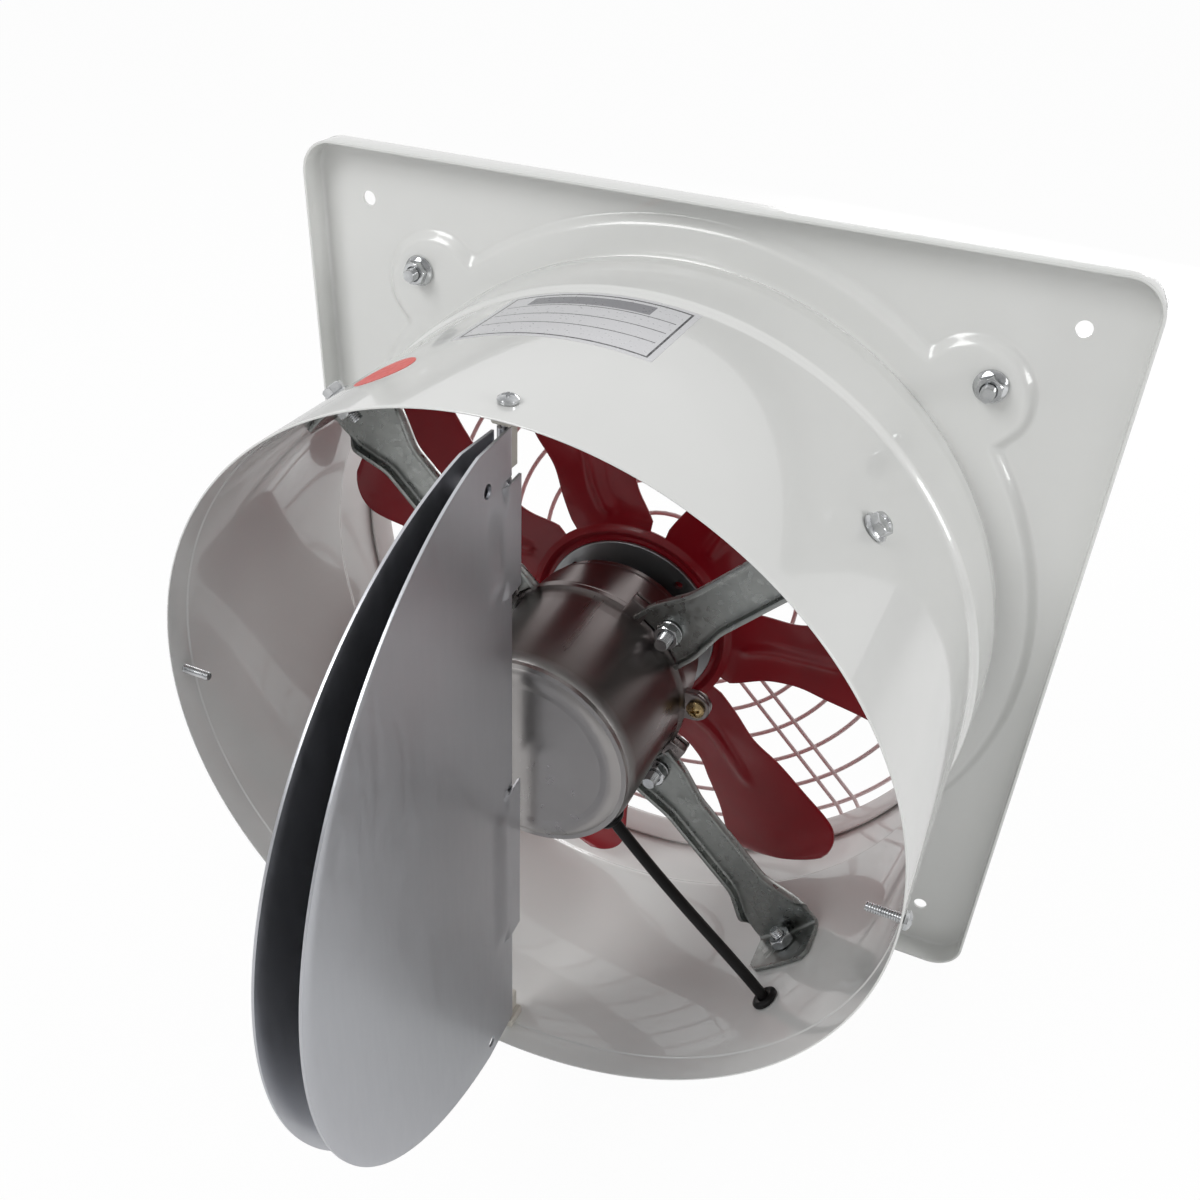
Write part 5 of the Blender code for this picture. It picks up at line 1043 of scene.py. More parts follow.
def joined(name, *pieces):
    """Several meshes as one piece."""
    bm = bmesh.new()
    for piece in pieces:
        bm.from_mesh(piece.data)
        bpy.data.objects.remove(piece, do_unlink=True)
    mesh = bpy.data.meshes.new(name)
    bm.to_mesh(mesh)
    bm.free()
    mesh.shade_smooth()
    mesh.set_sharp_from_angle(angle=math.radians(SMOOTH))
    whole = bpy.data.objects.new(name, mesh)
    bpy.context.scene.collection.objects.link(whole)
    return whole


# Arms


def make_arm(name, angle):
    """A pressed channel: across it a flat web with two turned-up edges, and along it a waist and a bent tab.

    At each step along, half width and edge height are smooth curves of the radius, and the cross-section runs up,
    round a bend, over the web, round a bend and up again.
    """
    z = ARM_FACE - ARM_SHEET / 2
    path = rounded(
        [(ARM_INNER, z), (TAB_RADIUS, z), (TAB_RADIUS, ARM_FACE + 0.020)],
        [0.0026],
        8,
    )
    dense = [path[:1]]
    for a, b in zip(path, path[1:]):
        steps = max(1, int(np.linalg.norm(b - a) / 0.0016))
        dense.append(a + (b - a) * np.linspace(0, 1, steps + 1)[1:, None])
    path = np.concatenate(dense)
    radius, height = path.T
    run = np.concatenate([[0], np.cumsum(np.linalg.norm(np.diff(path, axis=0), axis=1))]) + ARM_INNER
    knots = [0.0476, 0.0570, 0.0740, 0.1215, 0.1375, 0.19]
    halves = [0.0135, 0.0133, 0.0095, 0.0095, 0.0164, 0.0166]
    half = sum(np.interp(run + 0.0025 * k, knots, halves) for k in (-1, -0.5, 0, 0.5, 1)) / 5
    half = half - np.clip(run - (run[-1] - 0.0035), 0, None)
    turned = ease((0.1440 - run) / 0.008)[:, None]
    bend = 0.0022
    t = np.linspace(0, math.pi / 2, 6)
    side = np.concatenate([[0], bend - bend * np.cos(t)])
    lift = np.concatenate([[ARM_EDGE], bend - bend * np.sin(t)])
    side = turned * side + (1 - turned) * np.linspace(0, bend, 7)
    shares = np.linspace(1, -1, 17)[None, 1:-1]
    outer = half[:, None] - side
    columns_a = np.concatenate([outer, shares * (half - bend)[:, None], -outer[:, ::-1]], axis=1)
    lifts = turned * lift
    columns_u = np.concatenate([lifts, np.zeros((len(run), shares.size)), lifts[:, ::-1]], axis=1)
    on_tab = ease((run - (TAB_RADIUS - 0.012)) / 0.010)[:, None]
    reach = radius[:, None] - on_tab * (TAB_RADIUS - np.sqrt(TAB_RADIUS**2 - columns_a**2))
    start = np.sqrt(ARM_INNER**2 - columns_a**2) - ARM_INNER
    reach = reach + start * ease(1 - (run - ARM_INNER) / 0.004)[:, None]
    grid = np.stack([reach, columns_a, height[:, None] + columns_u], axis=-1)
    arm = surface(name, [patch(turned_about_axis(grid, angle))], closed=False, weld=1e-6)
    return sheet_of(arm, ARM_SHEET, 0.0003, 50)


# Impeller and hub


BLADE_SHARES = (0, 0.13, 0.27, 0.45, 0.65, 0.85, 0.95, 1)
OUTLET_EDGE = (-4.2, -7.0, -9.8, -9.4, -10.0, -10.6, -11.6, -12.5)
INLET_EDGE = (-47.2, -38.8, -36.1, -37.2, -38.4, -40.2, -40.9, -41.0)


def make_impeller():
    """Hub and seven blades pressed from one sheet.

    The hub is rings of points with a round bead. A blade is a grid: its share out from the root gives its two edge
    angles by smooth curves, its corners are arcs, and its height falls from the outlet edge to the inlet edge, with
    a cambered middle and a rib that fades out along the blade.
    """
    middle = HUB_REACH - BLADE_SHEET / 2
    pitch = 360 / BLADES
    columns = np.linspace(0, 1, 41)
    out = np.concatenate([np.linspace(0, 0.12, 9)[:-1], np.linspace(0.12, 0.88, 34), np.linspace(0.89, 1, 16)])
    span = BLADE_TIP - BLADE_ROOT
    radius = BLADE_ROOT + out * span
    low, high = fair(out, BLADE_SHARES, INLET_EDGE), fair(out, BLADE_SHARES, OUTLET_EDGE)
    for corner, outlet in ((0.0100, False), (0.0140, True)):
        past = np.maximum(radius - (BLADE_TIP - corner), 0)
        inset = np.degrees((corner - np.sqrt(np.maximum(corner**2 - past**2, 0))) / radius)
        if outlet:
            high = high - inset
        else:
            low = low + inset
    angle = low[:, None] + columns[None] * (high - low)[:, None]
    rise = out[:, None]
    z = middle + rise * (columns * BLADE_OUTLET_RISE - (1 - columns) * BLADE_INLET_FALL)
    z = z + rise * BLADE_CAMBER * 4 * columns * (1 - columns)
    arc = np.radians(angle - ((low + high) / 2)[:, None]) * radius[:, None]
    rib = np.exp(-((arc / BLADE_RIB_SPREAD) ** 2)) * ease((0.54 - rise) / 0.12) * ease(rise / 0.06 + 0.3)
    z = z + BLADE_RIB * rib
    hub_out = np.array(
        [0.0063, 0.02, 0.035, 0.0425, 0.0434, 0.0443, 0.0452, 0.0461, 0.047, 0.0479, 0.0488, 0.0494, 0.0500, 0.0506]
    )
    bead = HUB_BEAD * np.cos(np.clip((hub_out - HUB_BEAD_RADIUS) / HUB_BEAD_WIDTH, -0.5, 0.5) * math.pi) ** 2
    root = np.radians(low[0] + columns * (high[0] - low[0]))
    gap = np.radians(np.linspace(high[0], low[0] + pitch, 7))
    across = np.radians(angle)
    grids = [np.stack([radius[:, None] * np.cos(across), radius[:, None] * np.sin(across), z], -1)]
    for arcs in (root, gap):
        grids.append(np.stack([around(r, middle + h, arcs) for r, h in zip(hub_out[:-1], bead[:-1])]))
    from_rib = np.radians(np.degrees(root) - (low[0] + high[0]) / 2) * BLADE_ROOT
    rib_start = np.exp(-((from_rib / BLADE_RIB_SPREAD) ** 2))
    link = []
    for s in np.linspace(0, 1, 6):
        row = around(hub_out[-2] + s * (BLADE_ROOT - hub_out[-2]), middle, root)
        row[:, 2] += BLADE_RIB * rib_start * 0.3 * s * float(ease(0.3) / 0.3 if s else 1) + bead[-2] * (1 - s)
        link.append(row)
    link[-1][:, 2] = z[0]
    grids.append(np.stack(link))
    turns = [FIRST_BLADE + pitch * k for k in range(BLADES)]
    patches = [patch(turned_about_axis(grid, turn)) for turn in turns for grid in grids]
    wheel = surface("impeller_wheel", patches, closed=False, weld=4e-6)
    return sheet_of(wheel, BLADE_SHEET, 0.0002, 50)


def make_hub_disc():
    """The disc behind the impeller with its boss, and four holes."""
    low = HUB_REACH + SEAT
    profile = rounded(
        [
            (0.0063, low + 0.011), (0.0120, low + 0.011), (0.0120, low + 0.0020), (0.0420, low + 0.0020),
            (0.0420, low), (0.0063, low),
        ],
        [0.0008, 0.0010, 0.0005, 0.0005],
        4,
    )
    disc = surface("hub_disc_plate", [patch(revolved(profile, 128), True, True)])
    drill = tube_drill(HUB_HOLE_RADIUS, low - 0.004, low + 0.006)
    return drilled(disc, [moved(drill, *polar(HUB_HOLE_CIRCLE, FIRST_HUB_HOLE + 90 * k), 0) for k in range(4)])


# Shutter


def leaf_place(points, rest):
    """Leaf points (offset from the rod, height, reach out from the rod) turned to rest and set on the hinge."""
    c, s = polar(1, rest)
    off, y, out = np.moveaxis(points, -1, 0)
    return np.stack([HINGE_OFFSET + c * off + s * out, y, HINGE_REACH - s * off + c * out], axis=-1)


def leaf_spans():
    """Low and high ends of the five stretches of the leaves' straight edges, from the top down."""
    spans = [[low + SPAN_GAP, high - SPAN_GAP] for high, low in zip(SPAN_ENDS, SPAN_ENDS[1:])]
    spans[0][1], spans[-1][0] = LEAF_HALF, -LEAF_HALF
    return [(round(low, 5), round(high, 5)) for low, high in spans]


def tab_offset(rows, reach, tabs):
    """How far the sheet stands from the rod's plane: it eases out towards the tabs, late near a tab's two ends."""
    inside, on_tab = np.zeros((2, len(rows)))
    for i in tabs:
        low, high = leaf_spans()[i]
        inside = np.maximum(inside, ease((np.minimum(rows - low, high - rows) + 0.0003) / 0.010))
        past = np.maximum(np.maximum(low - rows, rows - high), 0)
        on_tab = np.maximum(on_tab, 1 - np.minimum(past / (2 * SPAN_GAP - 1e-6), 1))
    early = ease((0.0190 - reach) / 0.0125)
    late = ease((0.0076 - reach) / 0.0036)
    share = inside[:, None] * early[None] + (1 - inside)[:, None] * late[None]
    return LEAF_OFFSET + (TAB_OFFSET - LEAF_OFFSET) * share * on_tab[:, None]


def make_leaf(name, side, rest, curls, tabs):
    """Part of a disc of sheet: rows of height, with points from its straight edge out to its arc.

    Along the straight edge, strips end in a curl round the rod, or run past it as a tab, or are cut short.
    """
    spans = leaf_spans()
    ends = [v for span in spans for v in span]
    even = LEAF_HALF * np.sin(np.linspace(-math.pi / 2, math.pi / 2, 161))
    even = even[np.min(np.abs(even[:, None] - np.array(ends)[None]), axis=1) > 0.0004]
    y = np.sort(np.concatenate([even, ends]))
    near = np.linspace(LEAF_START, LEAF_FLAT, 9)
    arc = np.sqrt(LEAF_RADIUS**2 - y**2) - LEAF_CENTRE
    share = np.linspace(0, 1, 22)[None, 1:]
    far = LEAF_FLAT + share * (arc - LEAF_FLAT)[:, None]
    out = np.concatenate([np.repeat(near[None], len(y), axis=0), far], axis=1)
    offset = np.full(out.shape, LEAF_OFFSET)
    offset[:, : len(near)] = tab_offset(y, near, tabs)
    patches = [leaf_patch(side, rest, offset, y, out)]
    turn = np.radians(np.linspace(CURL_TURN, 0, 34))
    curl_offset, curl_reach = LEAF_OFFSET * np.cos(turn), -LEAF_OFFSET * np.sin(turn)
    tab_reach = np.linspace(-TAB_OVERLAP, LEAF_START, 20)
    flat_reach = np.linspace(LEAF_SETBACK, LEAF_START, 5)
    cut = y[0]
    for i in reversed(range(5)):
        low, high = spans[i]
        shape = "curl" if i in curls else "tab" if i in tabs else "flat"
        for first, last, kind in ((cut, low, "flat"), (low, high, shape)):
            rows = y[(y > first - 1e-7) & (y < last + 1e-7)]
            if len(rows) < 2:
                continue
            reach = tab_reach if kind == "tab" else flat_reach
            offset = tab_offset(rows, reach, () if kind == "curl" else tabs)
            if kind == "curl":
                reach = np.concatenate([curl_reach, reach])
                offset = np.concatenate([np.repeat(curl_offset[None], len(rows), axis=0), offset], axis=1)
            patches.append(leaf_patch(side, rest, offset, rows, np.repeat(reach[None], len(rows), axis=0)))
        cut = high
    leaf = surface(name, patches, closed=False, weld=1e-6)
    sheet_of(leaf, LEAF_SHEET, 0.00018, 50)
    holes = []
    for height, reach in zip(bpy.context.scene.fan_sizes.leaf_hole_heights, LEAF_HOLE_REACHES):
        drill = tube_drill(LEAF_HOLE_RADIUS, 0, 0.006, 32)
        hole = np.stack([side * drill[..., 2], drill[..., 0] + height, drill[..., 1] + reach], axis=-1)
        holes.append(leaf_place(hole, rest))
    return drilled(leaf, holes)


def leaf_patch(side, rest, offset, rows, reach):
    """A grid of the leaf from its offsets, heights and reaches."""
    height = np.repeat(rows[:, None], reach.shape[1], axis=1)
    return patch(leaf_place(np.stack([side * offset, height, reach], axis=-1), rest))


def bar_of(name, outline, low, high, edge=0.0003):
    """A straight bar along z with a given (x, y) outline, whose ends are drawn in a little at their edges."""
    centre = outline.mean(axis=0)
    size = np.abs(outline - centre).max(axis=0)
    rows = []
    for z, inset in ((low, edge), (low + edge, 0), (high - edge, 0), (high, edge)):
        loop = centre + (outline - centre) * (1 - inset / size)
        rows.append(np.column_stack([loop, np.full(len(loop), z)]))
    return surface(name, [patch(np.stack(rows), False, True, True, True)])


def make_bracket(name, sign, length, half_width):
    """A block that fits the round wall, with a rib on edge that runs in from it, nearer the plate than the rod."""
    x = np.linspace(-half_width, half_width, 15) + HINGE_OFFSET
    wall = np.sqrt(WALL_INNER**2 - x**2) - 0.0002
    inside = np.full_like(x, WALL_INNER - FOOT_HEIGHT)
    inside[[0, -1]] += 0.0006
    outline = np.concatenate([np.stack([x, sign * wall], 1), np.stack([x[::-1], sign * inside], 1)])
    block = bar_of(name + "_block", outline, FOOT_LOW, FOOT_HIGH)
    half, end = 0.0010, WALL_INNER - FOOT_HEIGHT + 0.0004
    tip = WALL_INNER - length
    rib = rounded(
        [(0, end), (half, end), (half, tip), (-half, tip), (-half, end), (0, end)], [0, 0.0005, 0.0005, 0], 3
    )[:-1]
    rib = np.column_stack([rib[:, 0] + HINGE_OFFSET, sign * rib[:, 1]])
    return joined(name + "_steel", block, bar_of(name + "_rib", rib, RIB_LOW, RIB_HIGH, 0.0002))


# Lead


def cable_route():
    """A cubic from the motor's bush to the duct's grommet: straight out of both, sagging a little between."""
    angles = (BUSH_ANGLE, BUSH_ANGLE, GROMMET_ANGLE, GROMMET_ANGLE)
    start, near, far, end = (np.array([*polar(r, a), CABLE_Z]) for r, a in zip(CABLE_RADII, angles))
    lead_in = (near - start) / np.linalg.norm(near - start)
    lead_out = (end - far) / np.linalg.norm(end - far)
    span = np.linalg.norm(far - near)
    s = np.linspace(0, 1, 40)[:, None]
    curve = near * (2 * s**3 - 3 * s**2 + 1) + lead_in * span * (s**3 - 2 * s**2 + s)
    curve += far * (3 * s**2 - 2 * s**3) + lead_out * span * (s**3 - s**2)
    curve[:, 1:2] -= CABLE_SAG * 16 * s**2 * (1 - s) ** 2
    return np.concatenate([start[None], curve, end[None]])


def make_grommet():
    """Rubber grommet: a domed head on both sides of the wall and a neck through it."""
    profile = rounded(
        [
            (0.0028, 0.0022), (0.0044, 0.0026), (0.0061, 0.0012), (0.0061, 0.0001), (0.0050, 0.0001),
            (0.0050, -0.0022), (0.0061, -0.0022), (0.0061, -0.0034), (0.0044, -0.0046), (0.0028, -0.0042),
        ],
        [0.0006, 0.0008, 0.0003, 0.0002, 0.0002, 0.0003, 0.0008, 0.0006],
        4,
    )
    grid = radially(revolved(profile, 56), GROMMET_ANGLE, WALL_OUTER, CABLE_Z)
    return surface("grommet_rubber", [patch(grid, True, True)])


def make_bush():
    """Rubber bush on the motor's side, tapering to the lead, with two shallow grooves."""
    profile = rounded(
        [
            (0.0028, -0.0016), (0.0053, -0.0016), (0.0053, 0.0), (0.0065, 0.0), (0.0065, 0.0016), (0.0059, 0.0019),
            (0.0059, 0.0024), (0.0060, 0.0027), (0.0044, 0.0044), (0.0028, 0.0045),
        ],
        [0.0001, 0.0002, 0.0003, 0.0003, 0.0002, 0.0002, 0.0002, 0.0005],
        3,
    )
    grid = radially(revolved(profile, 48), BUSH_ANGLE, REAR_CUP_RADIUS + SEAT, CABLE_Z)
    return surface("motor_bush_rubber", [patch(grid, True, True)])


# Stickers


def drum_sticker(name, angles, reaches, outline=None, thickness=0.00012):
    """A thin patch that lies on the drum: a grid over angle and reach, or an oval of the same size."""
    lift = DUCT_RADIUS + 0.00006
    a0, a1 = np.radians(angles)
    z0, z1 = reaches
    if outline == "oval":
        share = np.linspace(0.0, 1, 12)[:, None]
        t = np.linspace(0, TAU, 72, endpoint=False)[None]
        a = (a0 + a1) / 2 + (a1 - a0) / 2 * share * np.cos(t)
        z = (z0 + z1) / 2 + (z1 - z0) / 2 * share * np.sin(t)
    else:
        u, v = np.linspace(0, 1, 61)[:, None], np.linspace(0, 1, 21)[None]
        a = a0 + (a1 - a0) * u + 0 * v
        z = z0 + (z1 - z0) * v + 0 * u
    top = np.stack([lift * np.cos(a), lift * np.sin(a), z], axis=-1)
    sticker = surface(name, [patch(top, False, outline == "oval")], closed=False)
    solid = sticker.modifiers.new("film", "SOLIDIFY")
    solid.thickness = thickness
    solid.offset = 0
    return worked_in(sticker)


def label_film():
    """A blank rating plate: pale foil with a dark frame, a grey header band and ruled lines, without any lettering.

    Its place on the drum is read as an angle round the axis and a reach along it.
    """
    material, tree, shader, place = start_material("label_film")
    if not tree:
        return material
    axes = add(tree, "ShaderNodeSeparateXYZ", Vector=place)
    angle = combine(tree, "ARCTAN2", axes.outputs[2], axes.outputs[0])
    label = bpy.context.scene.fan_sizes
    u = spread(tree, angle, math.radians(label.label_end), math.radians(label.label_start), 0.0, 1.0)
    v = spread(tree, axes.outputs[1], -label.label_far, -label.label_near, 0.0, 1.0)

    def band(value, low, high):
        """One between two values, nought outside them."""
        over, under = combine(tree, "GREATER_THAN", value, low), combine(tree, "LESS_THAN", value, high)
        return combine(tree, "MULTIPLY", over, under)

    outer = combine(tree, "MULTIPLY", band(u, 0.030, 0.970), band(v, 0.04, 0.96))
    inner = combine(tree, "MULTIPLY", band(u, 0.041, 0.959), band(v, 0.060, 0.940))
    lines = combine(tree, "SUBTRACT", outer, inner)
    header = combine(tree, "MULTIPLY", band(v, 0.73, 0.90), band(u, 0.16, 0.80))
    for height in (0.70, 0.50, 0.30):
        rule = combine(tree, "MULTIPLY", band(v, height - 0.006, height + 0.006), band(u, 0.06, 0.94))
        lines = combine(tree, "MAXIMUM", lines, rule)
    fade = noise(tree, place, 700.0, 3.0)
    worn = spread(tree, fade, 0.3, 0.6, 0.75, 1.0)
    inked = combine(tree, "MULTIPLY", lines, worn)
    pale = blended(tree, header, (0.70, 0.70, 0.72, 1), (0.26, 0.26, 0.28, 1))
    colour = blended(tree, inked, pale, (0.02, 0.02, 0.025, 1))
    rough = spread(tree, fade, 0.3, 0.7, 0.26, 0.38)
    fill(tree, shader, Base_Color=colour, Roughness=rough, Metallic=0.15)
    return material


def oval_film():
    """The round sticker: plain coral red, with a faint mottle of ink."""
    material, tree, shader, place = start_material("oval_film")
    if tree:
        mottle = noise(tree, place, 500.0, 4.0)
        mask = spread(tree, mottle, 0.35, 0.7, 0.0, 1.0)
        colour = blended(tree, mask, (0.82, 0.065, 0.05, 1), (0.74, 0.055, 0.045, 1))
        fill(tree, shader, Base_Color=colour, Roughness=spread(tree, mottle, 0.3, 0.7, 0.28, 0.4))
    return material


# Settings


class FanSizes(bpy.types.PropertyGroup):
    """Sizes that a user may want to change."""

    emboss_slope: bpy.props.FloatProperty(
        name="Emboss Slope", description="Width of the slope round the plate's raised field",
        default=0.0056, min=0.002, max=0.008, unit="LENGTH",
    )
    lobe_fillet: bpy.props.FloatProperty(
        name="Lobe Fillet", description="How softly the raised circle runs into its lobes",
        default=0.004, min=0.002, max=0.03, unit="LENGTH",
    )
    leaf_hole_heights: bpy.props.FloatVectorProperty(
        name="Leaf Holes", description="Heights of the two small holes in each leaf",
        size=2, default=(0.1346, -0.1408), unit="LENGTH",
    )
    label_start: bpy.props.FloatProperty(
        name="Label Start", description="Angle round the duct of the label's right end, in degrees", default=81.0
    )
    label_end: bpy.props.FloatProperty(
        name="Label End", description="Angle round the duct of the label's left end, in degrees", default=111.0
    )
    label_near: bpy.props.FloatProperty(
        name="Label Near", description="Reach along the duct of the label's edge by the plate",
        default=0.0527, unit="LENGTH",
    )
    label_far: bpy.props.FloatProperty(
        name="Label Far", description="Reach along the duct of the label's edge by the outlet",
        default=0.1042, unit="LENGTH",
    )


class FanFinishes(bpy.types.PropertyGroup):
    """Colours of the painted pieces."""

    housing_colour: bpy.props.FloatVectorProperty(
        name="Housing", description="Paint of the plate and the duct", subtype="COLOR", size=3,
        default=(0.74, 0.745, 0.73), min=0, max=1,
    )
    blade_colour: bpy.props.FloatVectorProperty(
        name="Blades", description="Paint of the impeller", subtype="COLOR", size=3,
        default=(0.28, 0.006, 0.013), min=0, max=1,
    )
    bar_colour: bpy.props.FloatVectorProperty(
        name="Hinge Brackets", description="Paint of the shutter's brackets", subtype="COLOR", size=3,
        default=(0.62, 0.59, 0.53), min=0, max=1,
    )
    # The guard's pink tint is a painted reflection of the red blades on pale paint.
    guard_colour_with_red_reflection: bpy.props.FloatVectorProperty(
        name="Guard", description="Paint of the inlet guard's wires", subtype="COLOR", size=3,
        default=(0.80, 0.66, 0.66), min=0, max=1,
    )


class FanStage(bpy.types.PropertyGroup):
    """Light and floor."""

    key_power: bpy.props.FloatProperty(
        name="Key Lamp", description="Power of the large lamp above the fan", default=15.0, min=0, unit="POWER"
    )
    fill_power: bpy.props.FloatProperty(
        name="Fill Lamp", description="Power of the lamp to the right", default=7.0, min=0, unit="POWER"
    )
    back_power: bpy.props.FloatProperty(
        name="Back Lamp", description="Power of the lamp behind the fan", default=8.0, min=0, unit="POWER"
    )
    sky_strength: bpy.props.FloatProperty(
        name="Room Light", description="Strength of the light from all round", default=0.36, min=0
    )
    floor_height: bpy.props.FloatProperty(
        name="Floor Height", description="Height of the floor", default=-0.1852, unit="LENGTH"
    )


# Operators, one for each piece or group of like pieces


class FAN_OT_plate(bpy.types.Operator):
    """Make the pressed wall plate"""

    bl_idname = "fan.make_plate"
    bl_label = "Wall Plate"

    def execute(self, context):
        dress(make_plate(), housing_paint(), "fan_body", "white_paint", "mounting_plate")
        return {"FINISHED"}


class FAN_OT_drum(bpy.types.Operator):
    """Make the round duct"""

    bl_idname = "fan.make_drum"
    bl_label = "Duct"

    def execute(self, context):
        dress(make_drum(), housing_paint(), "fan_body", "white_paint", "duct_drum")
        return {"FINISHED"}


class FAN_OT_guard(bpy.types.Operator):
    """Make the welded inlet guard"""

    bl_idname = "fan.make_guard"
    bl_label = "Inlet Guard"

    def execute(self, context):
        dress(make_guard(), guard_paint(), "fan_body", "guard_wire_steel", "wire_guard")
        return {"FINISHED"}


class FAN_OT_guard_fasteners(bpy.types.Operator):
    """Make the studs and flange nuts that hold the guard"""

    bl_idname = "fan.make_guard_fasteners"
    bl_label = "Guard Studs and Nuts"

    def execute(self, context):
        nut_height, spare = 0.0060, 0.0040
        top = EMBOSS_DEPTH + PLATE_SHEET + SEAT
        face = LEG_END_Z - LEG_WIRE / 2 - SEAT
        length = top + nut_height + spare - face
        for i, angle in enumerate(QUARTERS, 1):
            x, y = polar(STUD_PLACE * math.sqrt(2), angle)
            turn = 17 + 40 * i
            nut = make_nut(
                f"guard_nut_{i}_zinc", M6_FLATS, nut_height, M6_RADIUS,
                lambda p: moved(p, x, y, top, False, turn), flange=0.0140, flange_height=0.0014,
            )
            dress_zinc(nut, f"guard_nut_{i}")
            head = ring_rows(STUD_HEAD, 48)
            shank = threaded(M6_RADIUS, 0, length)
            stud = headed(f"guard_stud_{i}_zinc", moved(head, x, y, face), moved(shank, x, y, face))
            dress_zinc(stud, f"guard_bolt_{i}")
        return {"FINISHED"}


class FAN_OT_motor(bpy.types.Operator):
    """Make the motor's two cups and their ear screws, and finish what is inside"""

    bl_idname = "fan.make_motor"
    bl_label = "Motor"

    def execute(self, context):
        dress(make_rear_cup(), drawn_steel(), "fan_body", "drawn_steel", "motor_rear_cup")
        dress(make_front_cup(), drawn_steel(), "fan_body", "drawn_steel", "motor_front_cup")
        face = MOTOR_JOINT + FLANGE_SHEET + SEAT
        for i, angle in enumerate(EAR_ANGLES):
            x, y = polar(EAR_CIRCLE, angle)
            screw = make_cross_screw(
                f"ear_screw_{i + 1}_zinc", head_radius=0.0040, head_height=0.0026,
                radius=0.0020, length=0.0100, place=lambda p: moved(p, x, y, face, False, 20 + 31 * i),
            )
            dress(screw, yellow_zinc(), "fan_body", "yellow_zinc", f"motor_ear_screw_{i + 1}")
        keep_solid("stator_core", core_steel())
        keep_solid("rotor_core", core_steel())
        keep_solid("stator_windings", copper_winding())
        for node in ("motor_shaft", "front_bearing", "rear_bearing"):
            keep_solid(node, ground_steel())
        return {"FINISHED"}


class FAN_OT_arms(bpy.types.Operator):
    """Make the four arms with their bolts and nuts"""

    bl_idname = "fan.make_arms"
    bl_label = "Arms"

    def execute(self, context):
        nut_height = 0.0045
        bolt_face = MOTOR_JOINT - 0.0006 - FLANGE_SHEET
        nut_face = ARM_FACE + SEAT
        inside = TAB_RADIUS - ARM_SHEET / 2 - SEAT - nut_height
        for i, angle in enumerate(QUARTERS, 1):
            dress(make_arm(f"arm_{i}_channel", angle), galvanised(), "fan_body", "zinc_plate", f"arm_{i}")
            x, y = polar(ARM_BOLT_CIRCLE, angle)
            bolt = make_hex_bolt(
                f"arm_motor_bolt_{i}_zinc", M6_FLATS, head=0.0048, radius=M6_RADIUS,
                length=nut_face + 0.0102 - bolt_face, place=lambda p: moved(p, x, y, bolt_face, True, -angle + 30),
            )
            dress_zinc(bolt, f"arm_motor_bolt_{i}")
            nut = make_nut(
                f"arm_motor_nut_{i}_zinc", M6_FLATS, height=0.0048, bore=M6_RADIUS,
                place=lambda p: moved(p, x, y, nut_face, False, angle + 30), flange=0.0112, flange_height=0.0010,
            )
            dress_zinc(nut, f"arm_motor_nut_{i}")
            bolt = make_hex_bolt(
                f"arm_duct_bolt_{i}_zinc", flats=0.0084, head=0.0038, radius=0.0026,
                length=WALL_OUTER - inside + 0.0036, flange=0.0114, flange_height=0.0012,
                place=lambda p: radially(p, angle, WALL_OUTER, ARM_DUCT_BOLT_Z),
            )
            dress_zinc(bolt, f"arm_duct_bolt_{i}")
            nut = make_nut(
                f"arm_duct_nut_{i}_zinc", M6_FLATS, nut_height, M6_RADIUS,
                place=lambda p: radially(p, angle, inside, ARM_DUCT_BOLT_Z),
            )
            dress_zinc(nut, f"arm_duct_nut_{i}")
        return {"FINISHED"}


class FAN_OT_impeller(bpy.types.Operator):
    """Make the impeller, its hub disc and its nut"""

    bl_idname = "fan.make_impeller"
    bl_label = "Impeller"

    def execute(self, context):
        dress(make_impeller(), blade_paint(), "rotor", "red_paint", "impeller")
        dress(make_hub_disc(), disc_zinc(), "rotor", "zinc_plate", "hub_disc")
        face = HUB_REACH - BLADE_SHEET - SEAT
        nut = make_nut(
            "shaft_nut_zinc", flats=0.0190, height=0.0080, bore=0.0060, place=lambda p: moved(p, 0, 0, face, True)
        )
        dress_zinc(nut, "shaft_nut", "rotor")
        return {"FINISHED"}


class FAN_OT_shutter(bpy.types.Operator):
    """Make the shutter's leaves, brackets and rod"""

    bl_idname = "fan.make_shutter"
    bl_label = "Shutter"

    def execute(self, context):
        right = make_leaf("right_leaf_sheet", 1, rest=3.4, curls=(0, 2, 4), tabs=(1, 3))
        dress(right, leaf_aluminium(), "right_leaf", "satin_aluminium", "flap_right")
        left = make_leaf("left_leaf_sheet", -1, rest=-1.6, curls=(1, 3), tabs=(2,))
        dress(left, leaf_aluminium(), "left_leaf", "satin_aluminium", "flap_left")
        brackets = (("hinge_bracket_top", 1, 0.0222, 0.0037), ("hinge_bracket_bottom", -1, 0.0146, 0.0034))
        for name, sign, length, half in brackets:
            dress(make_bracket(name, sign, length, half), bar_paint(), "fan_body", "cream_paint", name)
        half = ROD_HALF
        ends = [(0, -half), (ROD_RADIUS, -half), (ROD_RADIUS, half), (0, half)]
        x, y, z = np.moveaxis(revolved(rounded(ends, [0.0004, 0.0004]), 32), -1, 0)
        rod = np.stack([x + HINGE_OFFSET, z, y + HINGE_REACH], axis=-1)
        piece = surface("hinge_rod_steel", [patch(rod, False, True)])
        dress(piece, ground_steel(), "fan_body", "ground_steel", "hinge_rod")
        return {"FINISHED"}


